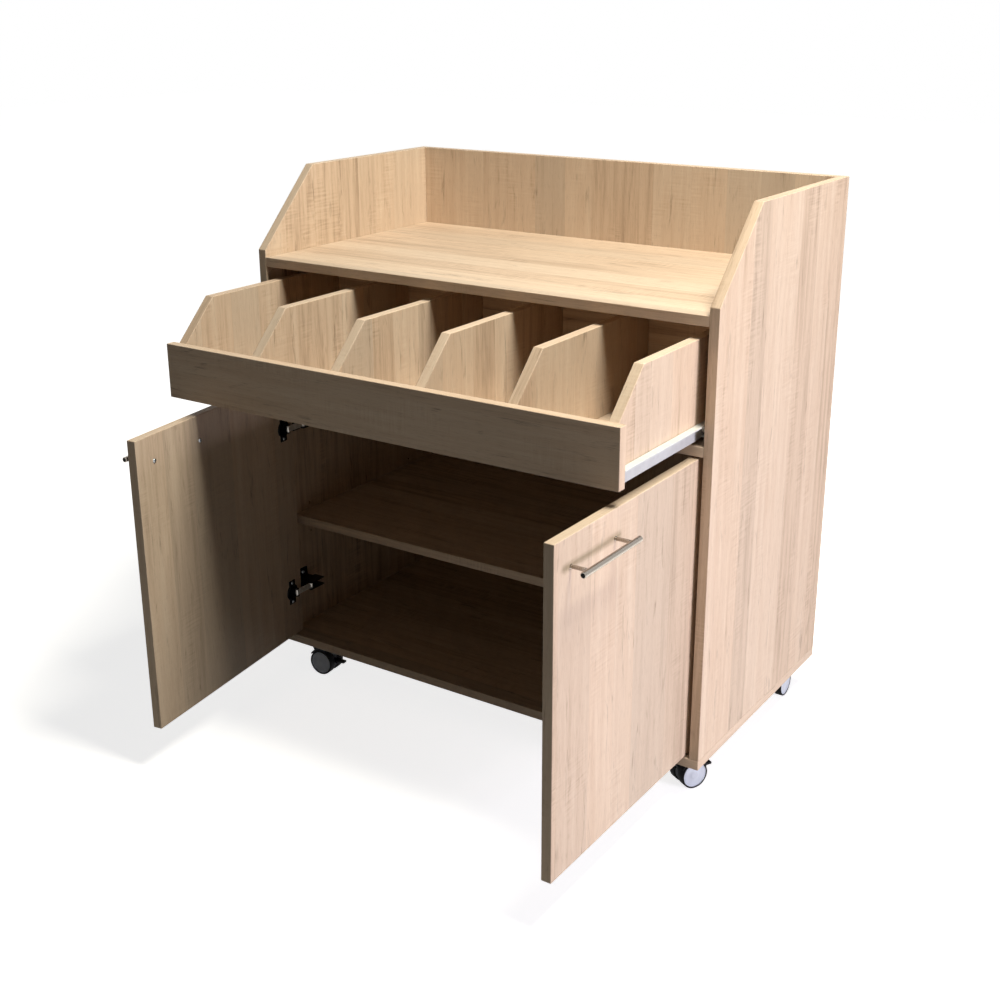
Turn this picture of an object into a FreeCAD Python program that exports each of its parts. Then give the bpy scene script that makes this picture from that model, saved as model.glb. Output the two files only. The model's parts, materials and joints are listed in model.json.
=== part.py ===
"""Mobile waiter service station with a cutlery drawer, two doors and four castors.

Millimetres, +Z up. The origin lies on the floor, midway between the sides and in the middle
of the plan of the station as it stands: drawer out, doors open. +Y points at the back.
"""
import FreeCAD
import Part
import math
import os

import Sketcher

# Driving dimensions: alias, value, meaning.
DIMENSIONS = (
    ("body_width", 984, "outside of one side to the outside of the other"),
    ("body_depth", 544, "front edges to the rear face"),
    ("castor_height", 72, "floor to the underside of the bottom panel"),
    ("cupboard_height", 565, "clear height from the bottom panel to the divider panel"),
    ("drawer_space", 202, "clear height from the divider panel to the worktop"),
    ("gallery_height", 164, "worktop to the top edges of the sides and back"),
    ("front_plane", -48, "Y of the front edges of the body"),
    ("board", 18, "melamine-faced chipboard"),
    ("corner_cut", 150, "45 degree cut at the top front corner of each side"),
    ("shelf_space", 236.5, "clear height under the adjustable shelf"),
    ("shelf_setback", 42, "front plane to the shelf's front edge"),
    ("shelf_play", 1, "shelf end to side, and shelf to back"),
    ("cam_inset", 24, "side's inner face to a cam's centre"),
    ("cam_radius", 7.5, "cam fitting"),
    ("cam_height", 12.5, "cam fitting"),
    ("cam_bolt_radius", 3, "bolt between a cam and a side"),
    ("dowel_radius", 4, "beech dowel in the carcass"),
    ("joint_reach", 11, "how deep bolts and dowels go into a side"),
    ("dowel_length", 30, "beech dowels"),
    ("shelf_pin_radius", 2.5, "shelf support pin"),
    ("shelf_pin_step", 32, "between rows of pin holes"),
    ("drawer_open", 277, "how far the drawer stands out"),
    ("front_lift", 5.5, "divider panel to the drawer front's lower edge"),
    ("front_height", 100.5, "height of the drawer front"),
    ("front_gap", 5, "drawer front to side"),
    ("drawer_board", 18, "sides, back and dividers of the drawer"),
    ("drawer_lift", 8, "divider panel to the lower edge of the drawer's sides"),
    ("drawer_headroom", 22.5, "top of the drawer's boards to the worktop"),
    ("drawer_rear_gap", 58, "shut drawer to the back panel"),
    ("drawer_floor", 10, "thickness of the drawer's floor"),
    ("drawer_cut", 75, "45 degree cut at the front of each drawer board"),
    ("drawer_dowel_radius", 3, "beech dowel in the drawer"),
    ("runner_space", 18, "drawer side to body side"),
    ("runner_steel", 1.2, "sheet that the runners are rolled from"),
    ("runner_setback", 2, "back of the shut drawer front to the cabinet member"),
    ("runner_rise", 2.8, "cabinet member's lower face above the lower edge of the drawer's sides"),
    ("roller_radius", 8.6, "nylon runner roller"),
    ("roller_width", 9, "nylon runner roller"),
    ("roller_side_gap", 1.4, "rail's web to the rollers"),
    ("roller_gap", 0.1, "roller to the flange above or below it"),
    ("roller_inset", 11, "end of a runner member to its roller's axis"),
    ("roller_lift", 3.6, "front rollers' axis above the rear rollers' axis"),
    ("roller_pin", 2.5, "radius of a roller's rivet"),
    ("running_play", 0.05, "radial play of rollers, axles, pins and king pins"),
    ("door_foot_gap", 3, "bottom panel to the shut doors"),
    ("door_head_gap", 4, "shut doors to the divider panel's underside"),
    ("door_hinge_gap", 2.5, "shut door to side"),
    ("door_meeting_gap", 3, "between the shut doors"),
    ("right_door_angle", 89.5, "degrees that the right door stands open"),
    ("left_door_angle", 82.3, "degrees that the left door stands open"),
    ("pivot_inset", 16.5, "side's inner face to the door's turning axis"),
    ("pivot_depth", 8, "front plane to the door's turning axis"),
    ("handle_drop", 48, "door's upper edge to the handle's axis"),
    ("handle_edge", 46, "door's free edge to the outer handle post"),
    ("handle_centres", 128, "between the handle's posts"),
    ("handle_length", 168, "length of the handle bar"),
    ("handle_reach", 32, "door's face to the bar's axis"),
    ("bar_radius", 5, "handle bar"),
    ("post_radius", 4, "handle post"),
    ("post_socket", 3.5, "how deep a post goes into the bar"),
    ("screw_radius", 2, "handle, hinge plate and castor screws"),
    ("screw_play", 0.2, "radial play of a handle screw in the door"),
    ("handle_thread", 12, "how deep a handle screw goes into its post"),
    ("hinge_end", 100, "door's upper or lower edge to a hinge's centre"),
    ("cup_inset", 34, "door's hinge edge to the cup's centre"),
    ("cup_radius", 17.5, "hinge cup"),
    ("cup_depth", 12.5, "hinge cup"),
    ("cup_rim", 1.8, "thickness of the cup's rim and screw wings"),
    ("link_inset", 30, "door's hinge edge to the link's pin"),
    ("link_rise", 10, "door's inner face to the link's pin"),
    ("link_length", 45, "pin to pin"),
    ("link_pin", 1.5, "radius of the link's pin"),
    ("link_eye", 3.2, "outer radius of the link's rolled eyes"),
    ("link_half_height", 6.2, "hinge's middle plane to the link's edge"),
    ("castor_side", 61, "side's outer face to a front castor's king pin"),
    ("rear_castor_side", 50, "side's outer face to a rear castor's king pin"),
    ("castor_front", 40, "front or rear face to a castor's king pin"),
    ("castor_trail", 27, "king pin to the wheels' axle"),
    ("wheel_radius", 27, "outside of the tyre"),
    ("tyre_thickness", 3, "radial thickness of the tyre"),
    ("wheel_inner", 6.2, "middle plane of a castor to a wheel's inner face"),
    ("wheel_outer", 22, "middle plane of a castor to a wheel's outer face"),
    ("axle_radius", 3, "castor axle"),
    ("king_pin", 4, "radius of a castor's king pin"),
    ("plate_thickness", 2.5, "castor's mounting plate"),
    ("plate_side", 42, "castor's mounting plate"),
    ("plate_bolt", 15, "king pin to each row of a castor's screws"),
)

SIDES = ("left", "right")

doc = FreeCAD.newDocument("service_station")
sheet = doc.addObject("Spreadsheet::Sheet", "Dim")
for row, (alias, number, meaning) in enumerate(DIMENSIONS, start=1):
    sheet.set(f"A{row}", alias)
    sheet.set(f"B{row}", str(number))
    sheet.set(f"C{row}", meaning)
    sheet.setAlias(f"B{row}", alias)
doc.recompute()

VECTOR = FreeCAD.Vector
ROUGH_RADIUS = 100  # an outline's corners start on this circle, before their sizes are set
AXES = {"X": VECTOR(1, 0, 0), "Y": VECTOR(0, 1, 0), "Z": VECTOR(0, 0, 1)}
finished = []


def size(alias):
    """The sheet's number for an alias."""
    return float(getattr(sheet, alias))


def sign(side):
    """-1 to the left, 1 to the right."""
    return -1 if side == "left" else 1


# Places that many pieces share, as expressions on the sheet.
HALF = "Dim.body_width / 2"
INNER = "(Dim.body_width / 2 - Dim.board)"
REAR = "(Dim.front_plane + Dim.body_depth)"
BOTTOM_UNDER = "Dim.castor_height"
BOTTOM_TOP = f"({BOTTOM_UNDER} + Dim.board)"
DIVIDER_UNDER = f"({BOTTOM_TOP} + Dim.cupboard_height)"
DIVIDER_TOP = f"({DIVIDER_UNDER} + Dim.board)"
WORKTOP_UNDER = f"({DIVIDER_TOP} + Dim.drawer_space)"
WORKTOP_TOP = f"({WORKTOP_UNDER} + Dim.board)"
BODY_TOP = f"({WORKTOP_TOP} + Dim.gallery_height)"
SHELF_UNDER = f"({BOTTOM_TOP} + Dim.shelf_space)"
DRAWER_FACE = "(Dim.front_plane - Dim.drawer_open)"
DRAWER_START = f"({DRAWER_FACE} + Dim.board)"
DRAWER_LENGTH = "(Dim.body_depth - 2 * Dim.board - Dim.drawer_rear_gap)"
DRAWER_END = f"({DRAWER_START} + {DRAWER_LENGTH})"
DRAWER_FOOT = f"({DIVIDER_TOP} + Dim.drawer_lift)"
DRAWER_FLOOR_TOP = f"({DRAWER_FOOT} + Dim.drawer_floor)"
DRAWER_TOP = f"({WORKTOP_UNDER} - Dim.drawer_headroom)"
FRONT_FOOT = f"({DIVIDER_TOP} + Dim.front_lift)"
DRAWER_OUTER = "(Dim.body_width / 2 - Dim.board - Dim.runner_space)"
DRAWER_INNER = f"({DRAWER_OUTER} - Dim.drawer_board)"
DOOR_FOOT = f"({BOTTOM_TOP} + Dim.door_foot_gap)"
DOOR_TOP = f"({DIVIDER_UNDER} - Dim.door_head_gap)"
DOOR_INNER_FACE = "(Dim.front_plane + Dim.board)"
DOOR_HINGE_EDGE = "(Dim.body_width / 2 - Dim.board - Dim.door_hinge_gap)"


# ---------------------------------------------------------------- ways to make a piece
def bind(target, **expressions):
    """Bind properties of an object; double underscores stand for dots."""
    for name, expression in expressions.items():
        target.setExpression(name.replace("__", "."), str(expression))
    return target


def place(target, x=0, y=0, z=0):
    return bind(target, Placement__Base__x=x, Placement__Base__y=y, Placement__Base__z=z)


def box(name, length, width, height, x, y, z):
    """A block from its low corner; every figure is an expression."""
    block = doc.addObject("Part::Box", name)
    bind(block, Length=length, Width=width, Height=height)
    return place(block, x, y, z)


def rod(name, radius, length, x, y, z, axis="Z"):
    """A cylinder from the middle of its low end, along one axis."""
    cylinder = doc.addObject("Part::Cylinder", name)
    cylinder.Placement = FreeCAD.Placement(VECTOR(), FreeCAD.Rotation(AXES["Z"], AXES[axis]))
    bind(cylinder, Radius=radius, Height=length)
    return place(cylinder, x, y, z)


def fuse(name, pieces):
    joined = doc.addObject("Part::MultiFuse", name)
    joined.Shapes = pieces
    joined.Refine = True
    return joined


def gather(name, pieces):
    """Separate solids kept as one object."""
    together = doc.addObject("Part::Compound", name)
    together.Links = pieces
    return together


def cut(name, base, tools):
    removed = doc.addObject("Part::Cut", name)
    removed.Base = base
    removed.Tool = tools[0] if len(tools) == 1 else gather(name + "_tools", tools)
    return removed


def mirrored(name, source):
    """The same piece on the other side of the middle plane."""
    other = doc.addObject("Part::Mirroring", name)
    other.Source = source
    other.Normal = AXES["X"]
    return other


def prism(name, plane, outline, depth, start=0):
    """A padded outline: plane "YZ" grows along +X, "XZ" along -Y, "XY" along +Z."""
    body = doc.addObject("PartDesign::Body", name + "_body")
    sketch = body.newObject("Sketcher::SketchObject", name + "_outline")
    role = plane + "_Plane"
    origin_plane = next(f for f in body.Origin.OriginFeatures if f.Role == role)
    sketch.AttachmentSupport = [(origin_plane, "")]
    sketch.MapMode = "FlatFace"
    count = len(outline)
    turns = [2 * math.pi * corner / count for corner in range(count)]
    rough = [VECTOR(math.cos(turn), math.sin(turn), 0) * ROUGH_RADIUS for turn in turns]
    for corner in range(count):
        sketch.addGeometry(Part.LineSegment(rough[corner], rough[(corner + 1) % count]), False)
    for corner in range(count):
        sketch.addConstraint(Sketcher.Constraint("Coincident", corner, 2, (corner + 1) % count, 1))
    for corner, (across, up) in enumerate(outline):
        for kind, start_value, figure in (
            ("DistanceX", rough[corner].x, across),
            ("DistanceY", rough[corner].y, up),
        ):
            number = sketch.addConstraint(Sketcher.Constraint(kind, -1, 1, corner, 1, start_value))
            sketch.setExpression(f"Constraints[{number}]", str(figure))
    pad = body.newObject("PartDesign::Pad", name + "_pad")
    pad.Profile = sketch
    bind(pad, Length=depth)
    sketch.Visibility = False
    body.Tip = pad
    offset = {"YZ": {"x": start}, "XZ": {"y": start}, "XY": {"z": start}}[plane]
    return place(body, **offset)


def keep(label, piece, placement=None):
    """Name a finished sub-part and put it among those that are written."""
    if placement is not None:
        piece = gather(label + "_placed", [piece])
        piece.Placement = placement
    piece.Label = label
    finished.append(piece)
    return piece


def screw(name, shank, head, at, axis, pilot=False):
    """A screw from under its head; only its shank as the tool for a pilot hole.

    shank and head are (radius, length); a negative length points down the axis.
    """
    x, y, z = at
    along = {"X": 0, "Y": 1, "Z": 2}[axis]
    pieces = []
    for part, (radius, length) in (("_shank", shank), ("_head", head)):
        spot = [x, y, z]
        if str(length).startswith("-"):
            length = str(length)[1:]
            spot[along] = f"{spot[along]} - ({length})"
        pieces.append((name + part, radius, length, spot))
    if pilot:
        label, radius, length, spot = pieces[0]
        return rod(label, radius, length, *spot, axis)
    return fuse(name, [rod(label, radius, length, *spot, axis)
                       for label, radius, length, spot in pieces])


def both_sides(label, right):
    """The right-hand pieces and their mirror images, as one object."""
    left = mirrored(label + "_left", gather(label + "_right", right))
    return keep(label, gather(label, right + [left]))


# ---------------------------------------------------------------- carcass
CAM_SETBACKS = (70, 90)
CAM_Y = (f"Dim.front_plane + {CAM_SETBACKS[0]}", f"{REAR} - Dim.board - {CAM_SETBACKS[1]}")
CAM_SPOTS = [(f"{sign(side)} * ({INNER} - Dim.cam_inset)", y) for side in SIDES for y in CAM_Y]
CAM_PANELS = {"worktop": WORKTOP_UNDER, "divider_panel": DIVIDER_UNDER}
CAM_POCKET_PLAY = 0.5
BACK_DOWELS = 4
BASE_SCREWS = 3
BASE_SHANK = (3, 50)
BASE_HEAD = (5, 4)
PIN_SETBACK = 48
PIN_LENGTH = 17
PIN_REACH = 9
SPARE_PIN_ROWS = 1


def along_x(name, side, radius, length, reach, y, z):
    """A rod along X that ends `reach` outside the inner face of one side."""
    start = f"{INNER} + {reach} - {length}" if side == "right" else f"-{INNER} - {reach}"
    return rod(name, radius, length, start, y, z, "X")


def cam_bolts(prefix, panels=tuple(CAM_PANELS), sides=SIDES):
    """Bolts from the sides to the cams in the worktop and the divider panel."""
    return [
        along_x(prefix, side, "Dim.cam_bolt_radius", "(Dim.cam_inset + Dim.joint_reach)",
                "Dim.joint_reach", y, f"{CAM_PANELS[panel]} + Dim.board / 2")
        for panel in panels
        for side in sides
        for y in CAM_Y
    ]


def cam_disc(name, spot, under, height):
    """A disc at a cam's place, up from the underside of its panel."""
    return rod(name, "Dim.cam_radius", height, *spot, under)


def back_dowels(prefix, sides=SIDES):
    """Dowels that hold the back between the sides, evenly spaced up its height."""
    return [
        along_x(prefix, side, "Dim.dowel_radius", "Dim.dowel_length", "Dim.joint_reach",
                f"{REAR} - Dim.board / 2",
                f"{BOTTOM_TOP} + ({BODY_TOP} - {BOTTOM_TOP}) * {number} / {BACK_DOWELS + 1}")
        for side in sides
        for number in range(1, BACK_DOWELS + 1)
    ]


def base_screws(prefix, sides=SIDES, back=True, pilot=False):
    """Screws up through the bottom panel into the sides and the back."""
    places = range(1, BASE_SCREWS + 1)
    spots = [
        (f"{sign(side)} * ({HALF} - Dim.board / 2)",
         f"Dim.front_plane + Dim.body_depth * {number} / {BASE_SCREWS + 1}")
        for side in sides
        for number in places
    ]
    if back:
        spots += [
            (f"Dim.body_width * ({number} / {BASE_SCREWS + 1} - 1 / 2)", f"{REAR} - Dim.board / 2")
            for number in places
        ]
    return [screw(prefix, BASE_SHANK, BASE_HEAD, (x, y, BOTTOM_UNDER), "Z", pilot)
            for x, y in spots]


def shelf_pins(prefix, side, spare_rows=0):
    """Pins under the shelf's ends, with as many spare rows above and below."""
    edges = (
        f"Dim.front_plane + Dim.shelf_setback + {PIN_SETBACK}",
        f"{REAR} - Dim.board - Dim.shelf_setback - {PIN_SETBACK}",
    )
    return [
        along_x(prefix, side, "Dim.shelf_pin_radius", PIN_LENGTH, PIN_REACH, y,
                f"{SHELF_UNDER} - Dim.shelf_pin_radius + Dim.shelf_pin_step * {row}")
        for y in edges
        for row in range(-spare_rows, spare_rows + 1)
    ]


def side_panel(side):
    """A side: square at the back, cut off at 45 degrees at the top front."""
    name = side + "_side_panel"
    outline = (
        ("Dim.front_plane", BOTTOM_TOP),
        (REAR, BOTTOM_TOP),
        (REAR, BODY_TOP),
        ("Dim.front_plane + Dim.corner_cut", BODY_TOP),
        ("Dim.front_plane", f"{BODY_TOP} - Dim.corner_cut"),
    )
    start = INNER if side == "right" else f"-{HALF}"
    board = prism(name, "YZ", outline, "Dim.board", start)
    holes = cam_bolts(name + "_bolt_hole", sides=(side,))
    holes += back_dowels(name + "_dowel_hole", (side,))
    holes += base_screws(name + "_screw_hole", (side,), back=False, pilot=True)
    holes += shelf_pins(name + "_pin_hole", side, SPARE_PIN_ROWS)
    pilots = runner_screws(name + "_runner_pilot", pilot=True)
    pilots += hinge_plate_screws(name + "_hinge_pilot", pilot=True)
    if side == "left":
        pilots = [mirrored(name + "_pilots", gather(name + "_right_pilots", pilots))]
    return keep(name, cut(name, board, holes + pilots))


def panels():
    width = f"2 * {INNER}"
    depth = "(Dim.body_depth - Dim.board)"
    back = box("back_blank", width, "Dim.board", f"{BODY_TOP} - {BOTTOM_TOP}",
               f"-{INNER}", f"{REAR} - Dim.board", BOTTOM_TOP)
    holes = back_dowels("back_dowel_hole") + base_screws("back_screw_hole", (), pilot=True)
    keep("back_panel", cut("back_panel", back, holes))
    for panel, under in CAM_PANELS.items():
        blank = box(panel + "_blank", width, depth, "Dim.board", f"-{INNER}", "Dim.front_plane",
                    under)
        pockets = [cam_disc(panel + "_pocket", spot, under, f"Dim.cam_height + {CAM_POCKET_PLAY}")
                   for spot in CAM_SPOTS]
        keep(panel, cut(panel, blank, pockets + cam_bolts(panel + "_bolt_hole", (panel,))))
    bottom = box("bottom_blank", "Dim.body_width", "Dim.body_depth", "Dim.board",
                 f"-{HALF}", "Dim.front_plane", BOTTOM_UNDER)
    holes = base_screws("bottom_screw_hole") + castor_screws("castor_pilot", pilot=True)
    keep("bottom_panel", cut("bottom_panel", bottom, holes))
    keep("adjustable_shelf", box(
        "adjustable_shelf", f"{width} - 2 * Dim.shelf_play",
        f"{depth} - Dim.shelf_setback - Dim.shelf_play", "Dim.board",
        f"Dim.shelf_play - {INNER}", "Dim.front_plane + Dim.shelf_setback", SHELF_UNDER))


CROSS_LENGTH = 9
CROSS_WIDTH = 1.6
CROSS_DEPTH = 2


def carcass_fittings():
    cams = []
    for panel, under in CAM_PANELS.items():
        for x, y in CAM_SPOTS:
            cross = [
                box("cam_cross", length, width, CROSS_DEPTH, f"{x} - {length / 2}",
                    f"{y} - {width / 2}", under)
                for length, width in ((CROSS_LENGTH, CROSS_WIDTH), (CROSS_WIDTH, CROSS_LENGTH))
            ]
            disc = cam_disc("cam_disc", (x, y), under, "Dim.cam_height")
            cams.append(cut("cam", disc, cross + cam_bolts("cam_seat", (panel,))))
    keep("cam_fittings", gather("cam_fittings", cams + cam_bolts("cam_bolt")))
    keep("panel_dowels", gather("panel_dowels", back_dowels("dowel")))
    keep("base_screws", gather("base_screws", base_screws("base_screw")))
    pins = [pin for side in SIDES for pin in shelf_pins("shelf_pin", side)]
    keep("shelf_pins", gather("shelf_pins", pins))


# ---------------------------------------------------------------- drawer
DIVIDERS = 4
FRONT_DOWELS = (0.35, 0.75)
REAR_DOWELS = (0.25, 0.75)
FRONT_DOWEL_REACH = 10


def drawer_outline(foot, end=DRAWER_END):
    """A drawer board: its front edge stops just under the drawer front's top and slopes back."""
    return (
        (DRAWER_START, foot),
        (end, foot),
        (end, DRAWER_TOP),
        (f"{DRAWER_START} + Dim.drawer_cut", DRAWER_TOP),
        (DRAWER_START, f"{DRAWER_TOP} - Dim.drawer_cut"),
    )


def divider_x(number):
    """Low X face of a divider: equal compartments between the drawer's sides."""
    clear = f"(2 * {DRAWER_INNER} - {DIVIDERS} * Dim.drawer_board) / {DIVIDERS + 1}"
    return f"-{DRAWER_INNER} + {number} * {clear} + {number - 1} * Dim.drawer_board"


def front_dowels(prefix, low_faces):
    """Two dowels from the drawer front into the front edge of each board."""
    return [
        rod(prefix, "Dim.drawer_dowel_radius", "Dim.dowel_length", f"{low} + Dim.drawer_board / 2",
            f"{DRAWER_START} - {FRONT_DOWEL_REACH}", f"{FRONT_FOOT} + Dim.front_height * {share}", "Y")
        for low in low_faces
        for share in FRONT_DOWELS
    ]


def rear_dowels(prefix, sides=SIDES):
    """Dowels through the drawer's sides into its back."""
    dowels = []
    for side in sides:
        start = f"{DRAWER_OUTER} - Dim.dowel_length" if side == "right" else f"-{DRAWER_OUTER}"
        for share in REAR_DOWELS:
            height = f"{DRAWER_FLOOR_TOP} + ({DRAWER_TOP} - {DRAWER_FLOOR_TOP}) * {share}"
            dowels.append(rod(prefix, "Dim.drawer_dowel_radius", "Dim.dowel_length", start,
                              f"{DRAWER_END} - Dim.drawer_board / 2", height, "X"))
    return dowels


def drawer_side(side, low_face):
    name = f"drawer_{side}_side"
    board = prism(name, "YZ", drawer_outline(DRAWER_FOOT), "Dim.drawer_board", low_face)
    holes = front_dowels(name + "_hole", [low_face])
    holes += rear_dowels(name + "_back_hole", (side,))
    pilots = rail_screws(name + "_pilot", pilot=True)
    if side == "left":
        pilots = [mirrored(name + "_pilots", gather(name + "_right_pilots", pilots))]
    keep(name, cut(name, board, holes + pilots))


def drawer_divider(number):
    name = f"drawer_divider_{number}"
    low_face = divider_x(number)
    outline = drawer_outline(DRAWER_FLOOR_TOP, f"{DRAWER_END} - Dim.drawer_board")
    board = prism(name, "YZ", outline, "Dim.drawer_board", low_face)
    keep(name, cut(name, board, front_dowels(name + "_hole", [low_face])))


def drawer():
    low_faces = {"left": f"-{DRAWER_OUTER}", "right": DRAWER_INNER}
    for side, low_face in low_faces.items():
        drawer_side(side, low_face)
    for number in range(1, DIVIDERS + 1):
        drawer_divider(number)
        low_faces[number] = divider_x(number)
    front = box("drawer_front_blank", f"2 * ({INNER} - Dim.front_gap)", "Dim.board",
                "Dim.front_height", f"Dim.front_gap - {INNER}", DRAWER_FACE, FRONT_FOOT)
    holes = front_dowels("front_dowel_hole", low_faces.values())
    keep("drawer_front", cut("drawer_front", front, holes))
    inside = f"2 * {DRAWER_INNER}"
    back = box("drawer_back_blank", inside, "Dim.drawer_board", f"{DRAWER_TOP} - {DRAWER_FLOOR_TOP}",
               f"-{DRAWER_INNER}", f"{DRAWER_END} - Dim.drawer_board", DRAWER_FLOOR_TOP)
    keep("drawer_back", cut("drawer_back", back, rear_dowels("drawer_back_hole")))
    keep("drawer_bottom", box("drawer_bottom", inside, DRAWER_LENGTH, "Dim.drawer_floor",
                              f"-{DRAWER_INNER}", DRAWER_START, DRAWER_FOOT))
    dowels = front_dowels("drawer_dowel", low_faces.values()) + rear_dowels("drawer_dowel")
    keep("drawer_dowels", gather("drawer_dowels", dowels))


# ---------------------------------------------------------------- roller runners
CHANNEL_SCREWS = 3
CHANNEL_MOUTH = 26
CHANNEL_CLEARANCE = 1
CHANNEL_SCREW = (1.75, 14)
CHANNEL_SCREW_HEAD = (3.4, "-1.2")
RAIL_LIP = 2.7
RAIL_LIP_GAP = 0.4
RAIL_WRAP = 9
RAIL_SCREW = (1.5, 12)
RAIL_SCREW_HEAD = (3, "-1.2")
RAIL_SCREW_INSET = 5
CHANNEL_FOOT = f"({DRAWER_FOOT} + Dim.runner_rise)"
CHANNEL_START = f"({DOOR_INNER_FACE} + Dim.runner_setback)"
CHANNEL_HEIGHT = "(2 * (Dim.roller_radius + Dim.roller_gap + Dim.runner_steel))"
CHANNEL_REACH = f"(Dim.runner_space - Dim.runner_steel - {CHANNEL_CLEARANCE})"
REAR_AXIS_Z = f"({CHANNEL_FOOT} + Dim.runner_steel + Dim.roller_gap + Dim.roller_radius)"
FRONT_AXIS_Z = f"({REAR_AXIS_Z} + Dim.roller_lift)"
FRONT_AXIS_Y = f"({CHANNEL_START} + Dim.roller_inset)"
REAR_AXIS_Y = f"({DRAWER_END} - Dim.roller_inset)"
RAIL_FOOT = f"({DRAWER_FOOT} - Dim.runner_steel)"
RAIL_TOP = f"({FRONT_AXIS_Z} + Dim.roller_radius + Dim.roller_gap + Dim.runner_steel)"
ROLLER_X = f"({DRAWER_OUTER} + Dim.runner_steel + Dim.roller_side_gap)"
RAIL_REACH = f"(2 * Dim.runner_steel + Dim.roller_side_gap + Dim.roller_width + {RAIL_LIP_GAP})"


def screw_places(start, count):
    """Y of screws evenly spaced along a runner member."""
    return [f"{start} + {DRAWER_LENGTH} * {number} / {count + 1}" for number in range(1, count + 1)]


def runner_screws(name, pilot=False):
    """Screws through the right channel's web into the side, between the rollers' heights."""
    face = f"{INNER} - Dim.runner_steel"
    return [screw(name, CHANNEL_SCREW, CHANNEL_SCREW_HEAD, (face, y, REAR_AXIS_Z), "X", pilot)
            for y in screw_places(CHANNEL_START, CHANNEL_SCREWS)]


def rail_screws(name, pilot=False):
    """Screws up through the right rail into the drawer side's lower edge."""
    x = f"{DRAWER_OUTER} - {RAIL_SCREW_INSET}"
    return [screw(name, RAIL_SCREW, RAIL_SCREW_HEAD, (x, y, RAIL_FOOT), "Z", pilot)
            for y in screw_places(DRAWER_START, CHANNEL_SCREWS)]


def cabinet_member():
    """The right channel on the body: web on the side, two flanges inward, and a rivet."""
    steel = "Dim.runner_steel"
    web = box("channel_web", steel, DRAWER_LENGTH, CHANNEL_HEIGHT, f"{INNER} - {steel}",
              CHANNEL_START, CHANNEL_FOOT)
    lower = box("channel_lower", CHANNEL_REACH, DRAWER_LENGTH, steel, f"{INNER} - {CHANNEL_REACH}",
                CHANNEL_START, CHANNEL_FOOT)
    upper = box("channel_upper", f"{CHANNEL_REACH} - {CHANNEL_CLEARANCE}",
                f"{DRAWER_LENGTH} - {CHANNEL_MOUTH}", steel,
                f"{INNER} - {CHANNEL_REACH} + {CHANNEL_CLEARANCE}",
                f"{CHANNEL_START} + {CHANNEL_MOUTH}", f"{CHANNEL_FOOT} + {CHANNEL_HEIGHT} - {steel}")
    rivet = rod("channel_rivet", "Dim.roller_pin", f"{INNER} - {ROLLER_X}", ROLLER_X, FRONT_AXIS_Y,
                FRONT_AXIS_Z, "X")
    member = fuse("cabinet_member", [web, lower, upper, rivet])
    return cut("cabinet_member_drilled", member, runner_screws("channel_hole", pilot=True))


def drawer_member():
    """The right rail on the drawer: wraps the side's lower edge, flange outward, and a rivet."""
    steel = "Dim.runner_steel"
    web = box("rail_web", steel, DRAWER_LENGTH, f"{RAIL_TOP} - {RAIL_FOOT}", DRAWER_OUTER,
              DRAWER_START, RAIL_FOOT)
    wrap = box("rail_wrap", f"{RAIL_WRAP} + {steel}", DRAWER_LENGTH, steel,
               f"{DRAWER_OUTER} - {RAIL_WRAP}", DRAWER_START, RAIL_FOOT)
    flange = box("rail_flange", RAIL_REACH, DRAWER_LENGTH, steel, DRAWER_OUTER, DRAWER_START,
                 f"{RAIL_TOP} - {steel}")
    lip = box("rail_lip", steel, DRAWER_LENGTH, RAIL_LIP,
              f"{DRAWER_OUTER} + {RAIL_REACH} - {steel}", DRAWER_START, f"{RAIL_TOP} - {RAIL_LIP}")
    rivet = rod("rail_rivet", "Dim.roller_pin", f"{ROLLER_X} + Dim.roller_width - {DRAWER_OUTER}",
                DRAWER_OUTER, REAR_AXIS_Y, REAR_AXIS_Z, "X")
    member = fuse("drawer_member", [web, wrap, flange, lip, rivet])
    return cut("drawer_member_drilled", member, rail_screws("rail_hole", pilot=True))


def roller(name, y, z):
    """A nylon roller on the right runner."""
    disc = rod(name + "_disc", "Dim.roller_radius", "Dim.roller_width", ROLLER_X, y, z, "X")
    bore = rod(name + "_bore", "Dim.roller_pin + Dim.running_play", "Dim.roller_width",
               ROLLER_X, y, z, "X")
    return cut(name, disc, [bore])


def runners():
    for label, member in (("cabinet", cabinet_member()), ("drawer", drawer_member())):
        keep(f"right_runner_{label}_member", member)
        keep(f"left_runner_{label}_member", mirrored(f"left_{label}_member", member))
    both_sides("front_rollers", [roller("front_roller", FRONT_AXIS_Y, FRONT_AXIS_Z)])
    both_sides("rear_rollers", [roller("rear_roller", REAR_AXIS_Y, REAR_AXIS_Z)])
    both_sides("runner_screws", runner_screws("runner_screw"))
    both_sides("drawer_runner_screws", rail_screws("rail_screw"))


# ---------------------------------------------------------------- doors and handles
POST_TIP = "Dim.front_plane - Dim.handle_reach + Dim.bar_radius - Dim.post_socket"
HANDLE_Z = f"({DOOR_TOP} - Dim.handle_drop)"
HANDLE_HEAD = (4, 2.2)
HINGE_HEIGHTS = (f"({DOOR_FOOT} + Dim.hinge_end)", f"({DOOR_TOP} - Dim.hinge_end)")
CUP_X = f"({DOOR_HINGE_EDGE} - Dim.cup_inset)"
LINK_X = f"({DOOR_HINGE_EDGE} - Dim.link_inset)"
LINK_Y = f"({DOOR_INNER_FACE} + Dim.link_rise)"
CUP_WALL = 4
CUP_FLOOR = 3.3
WING_HALF_HEIGHT = 26
WING_WIDTH = 20
WING_SCREW_STEP = 20.5
WING_SCREW_DEPTH = 11
WING_SCREW = (1.5, f"-(Dim.cup_rim + {WING_SCREW_DEPTH})")
WING_SCREW_HEAD = (3.2, 1.2)
EAR_GAP = 0.6
EAR_THICK = 2
EAR_ROOT = 2
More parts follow.
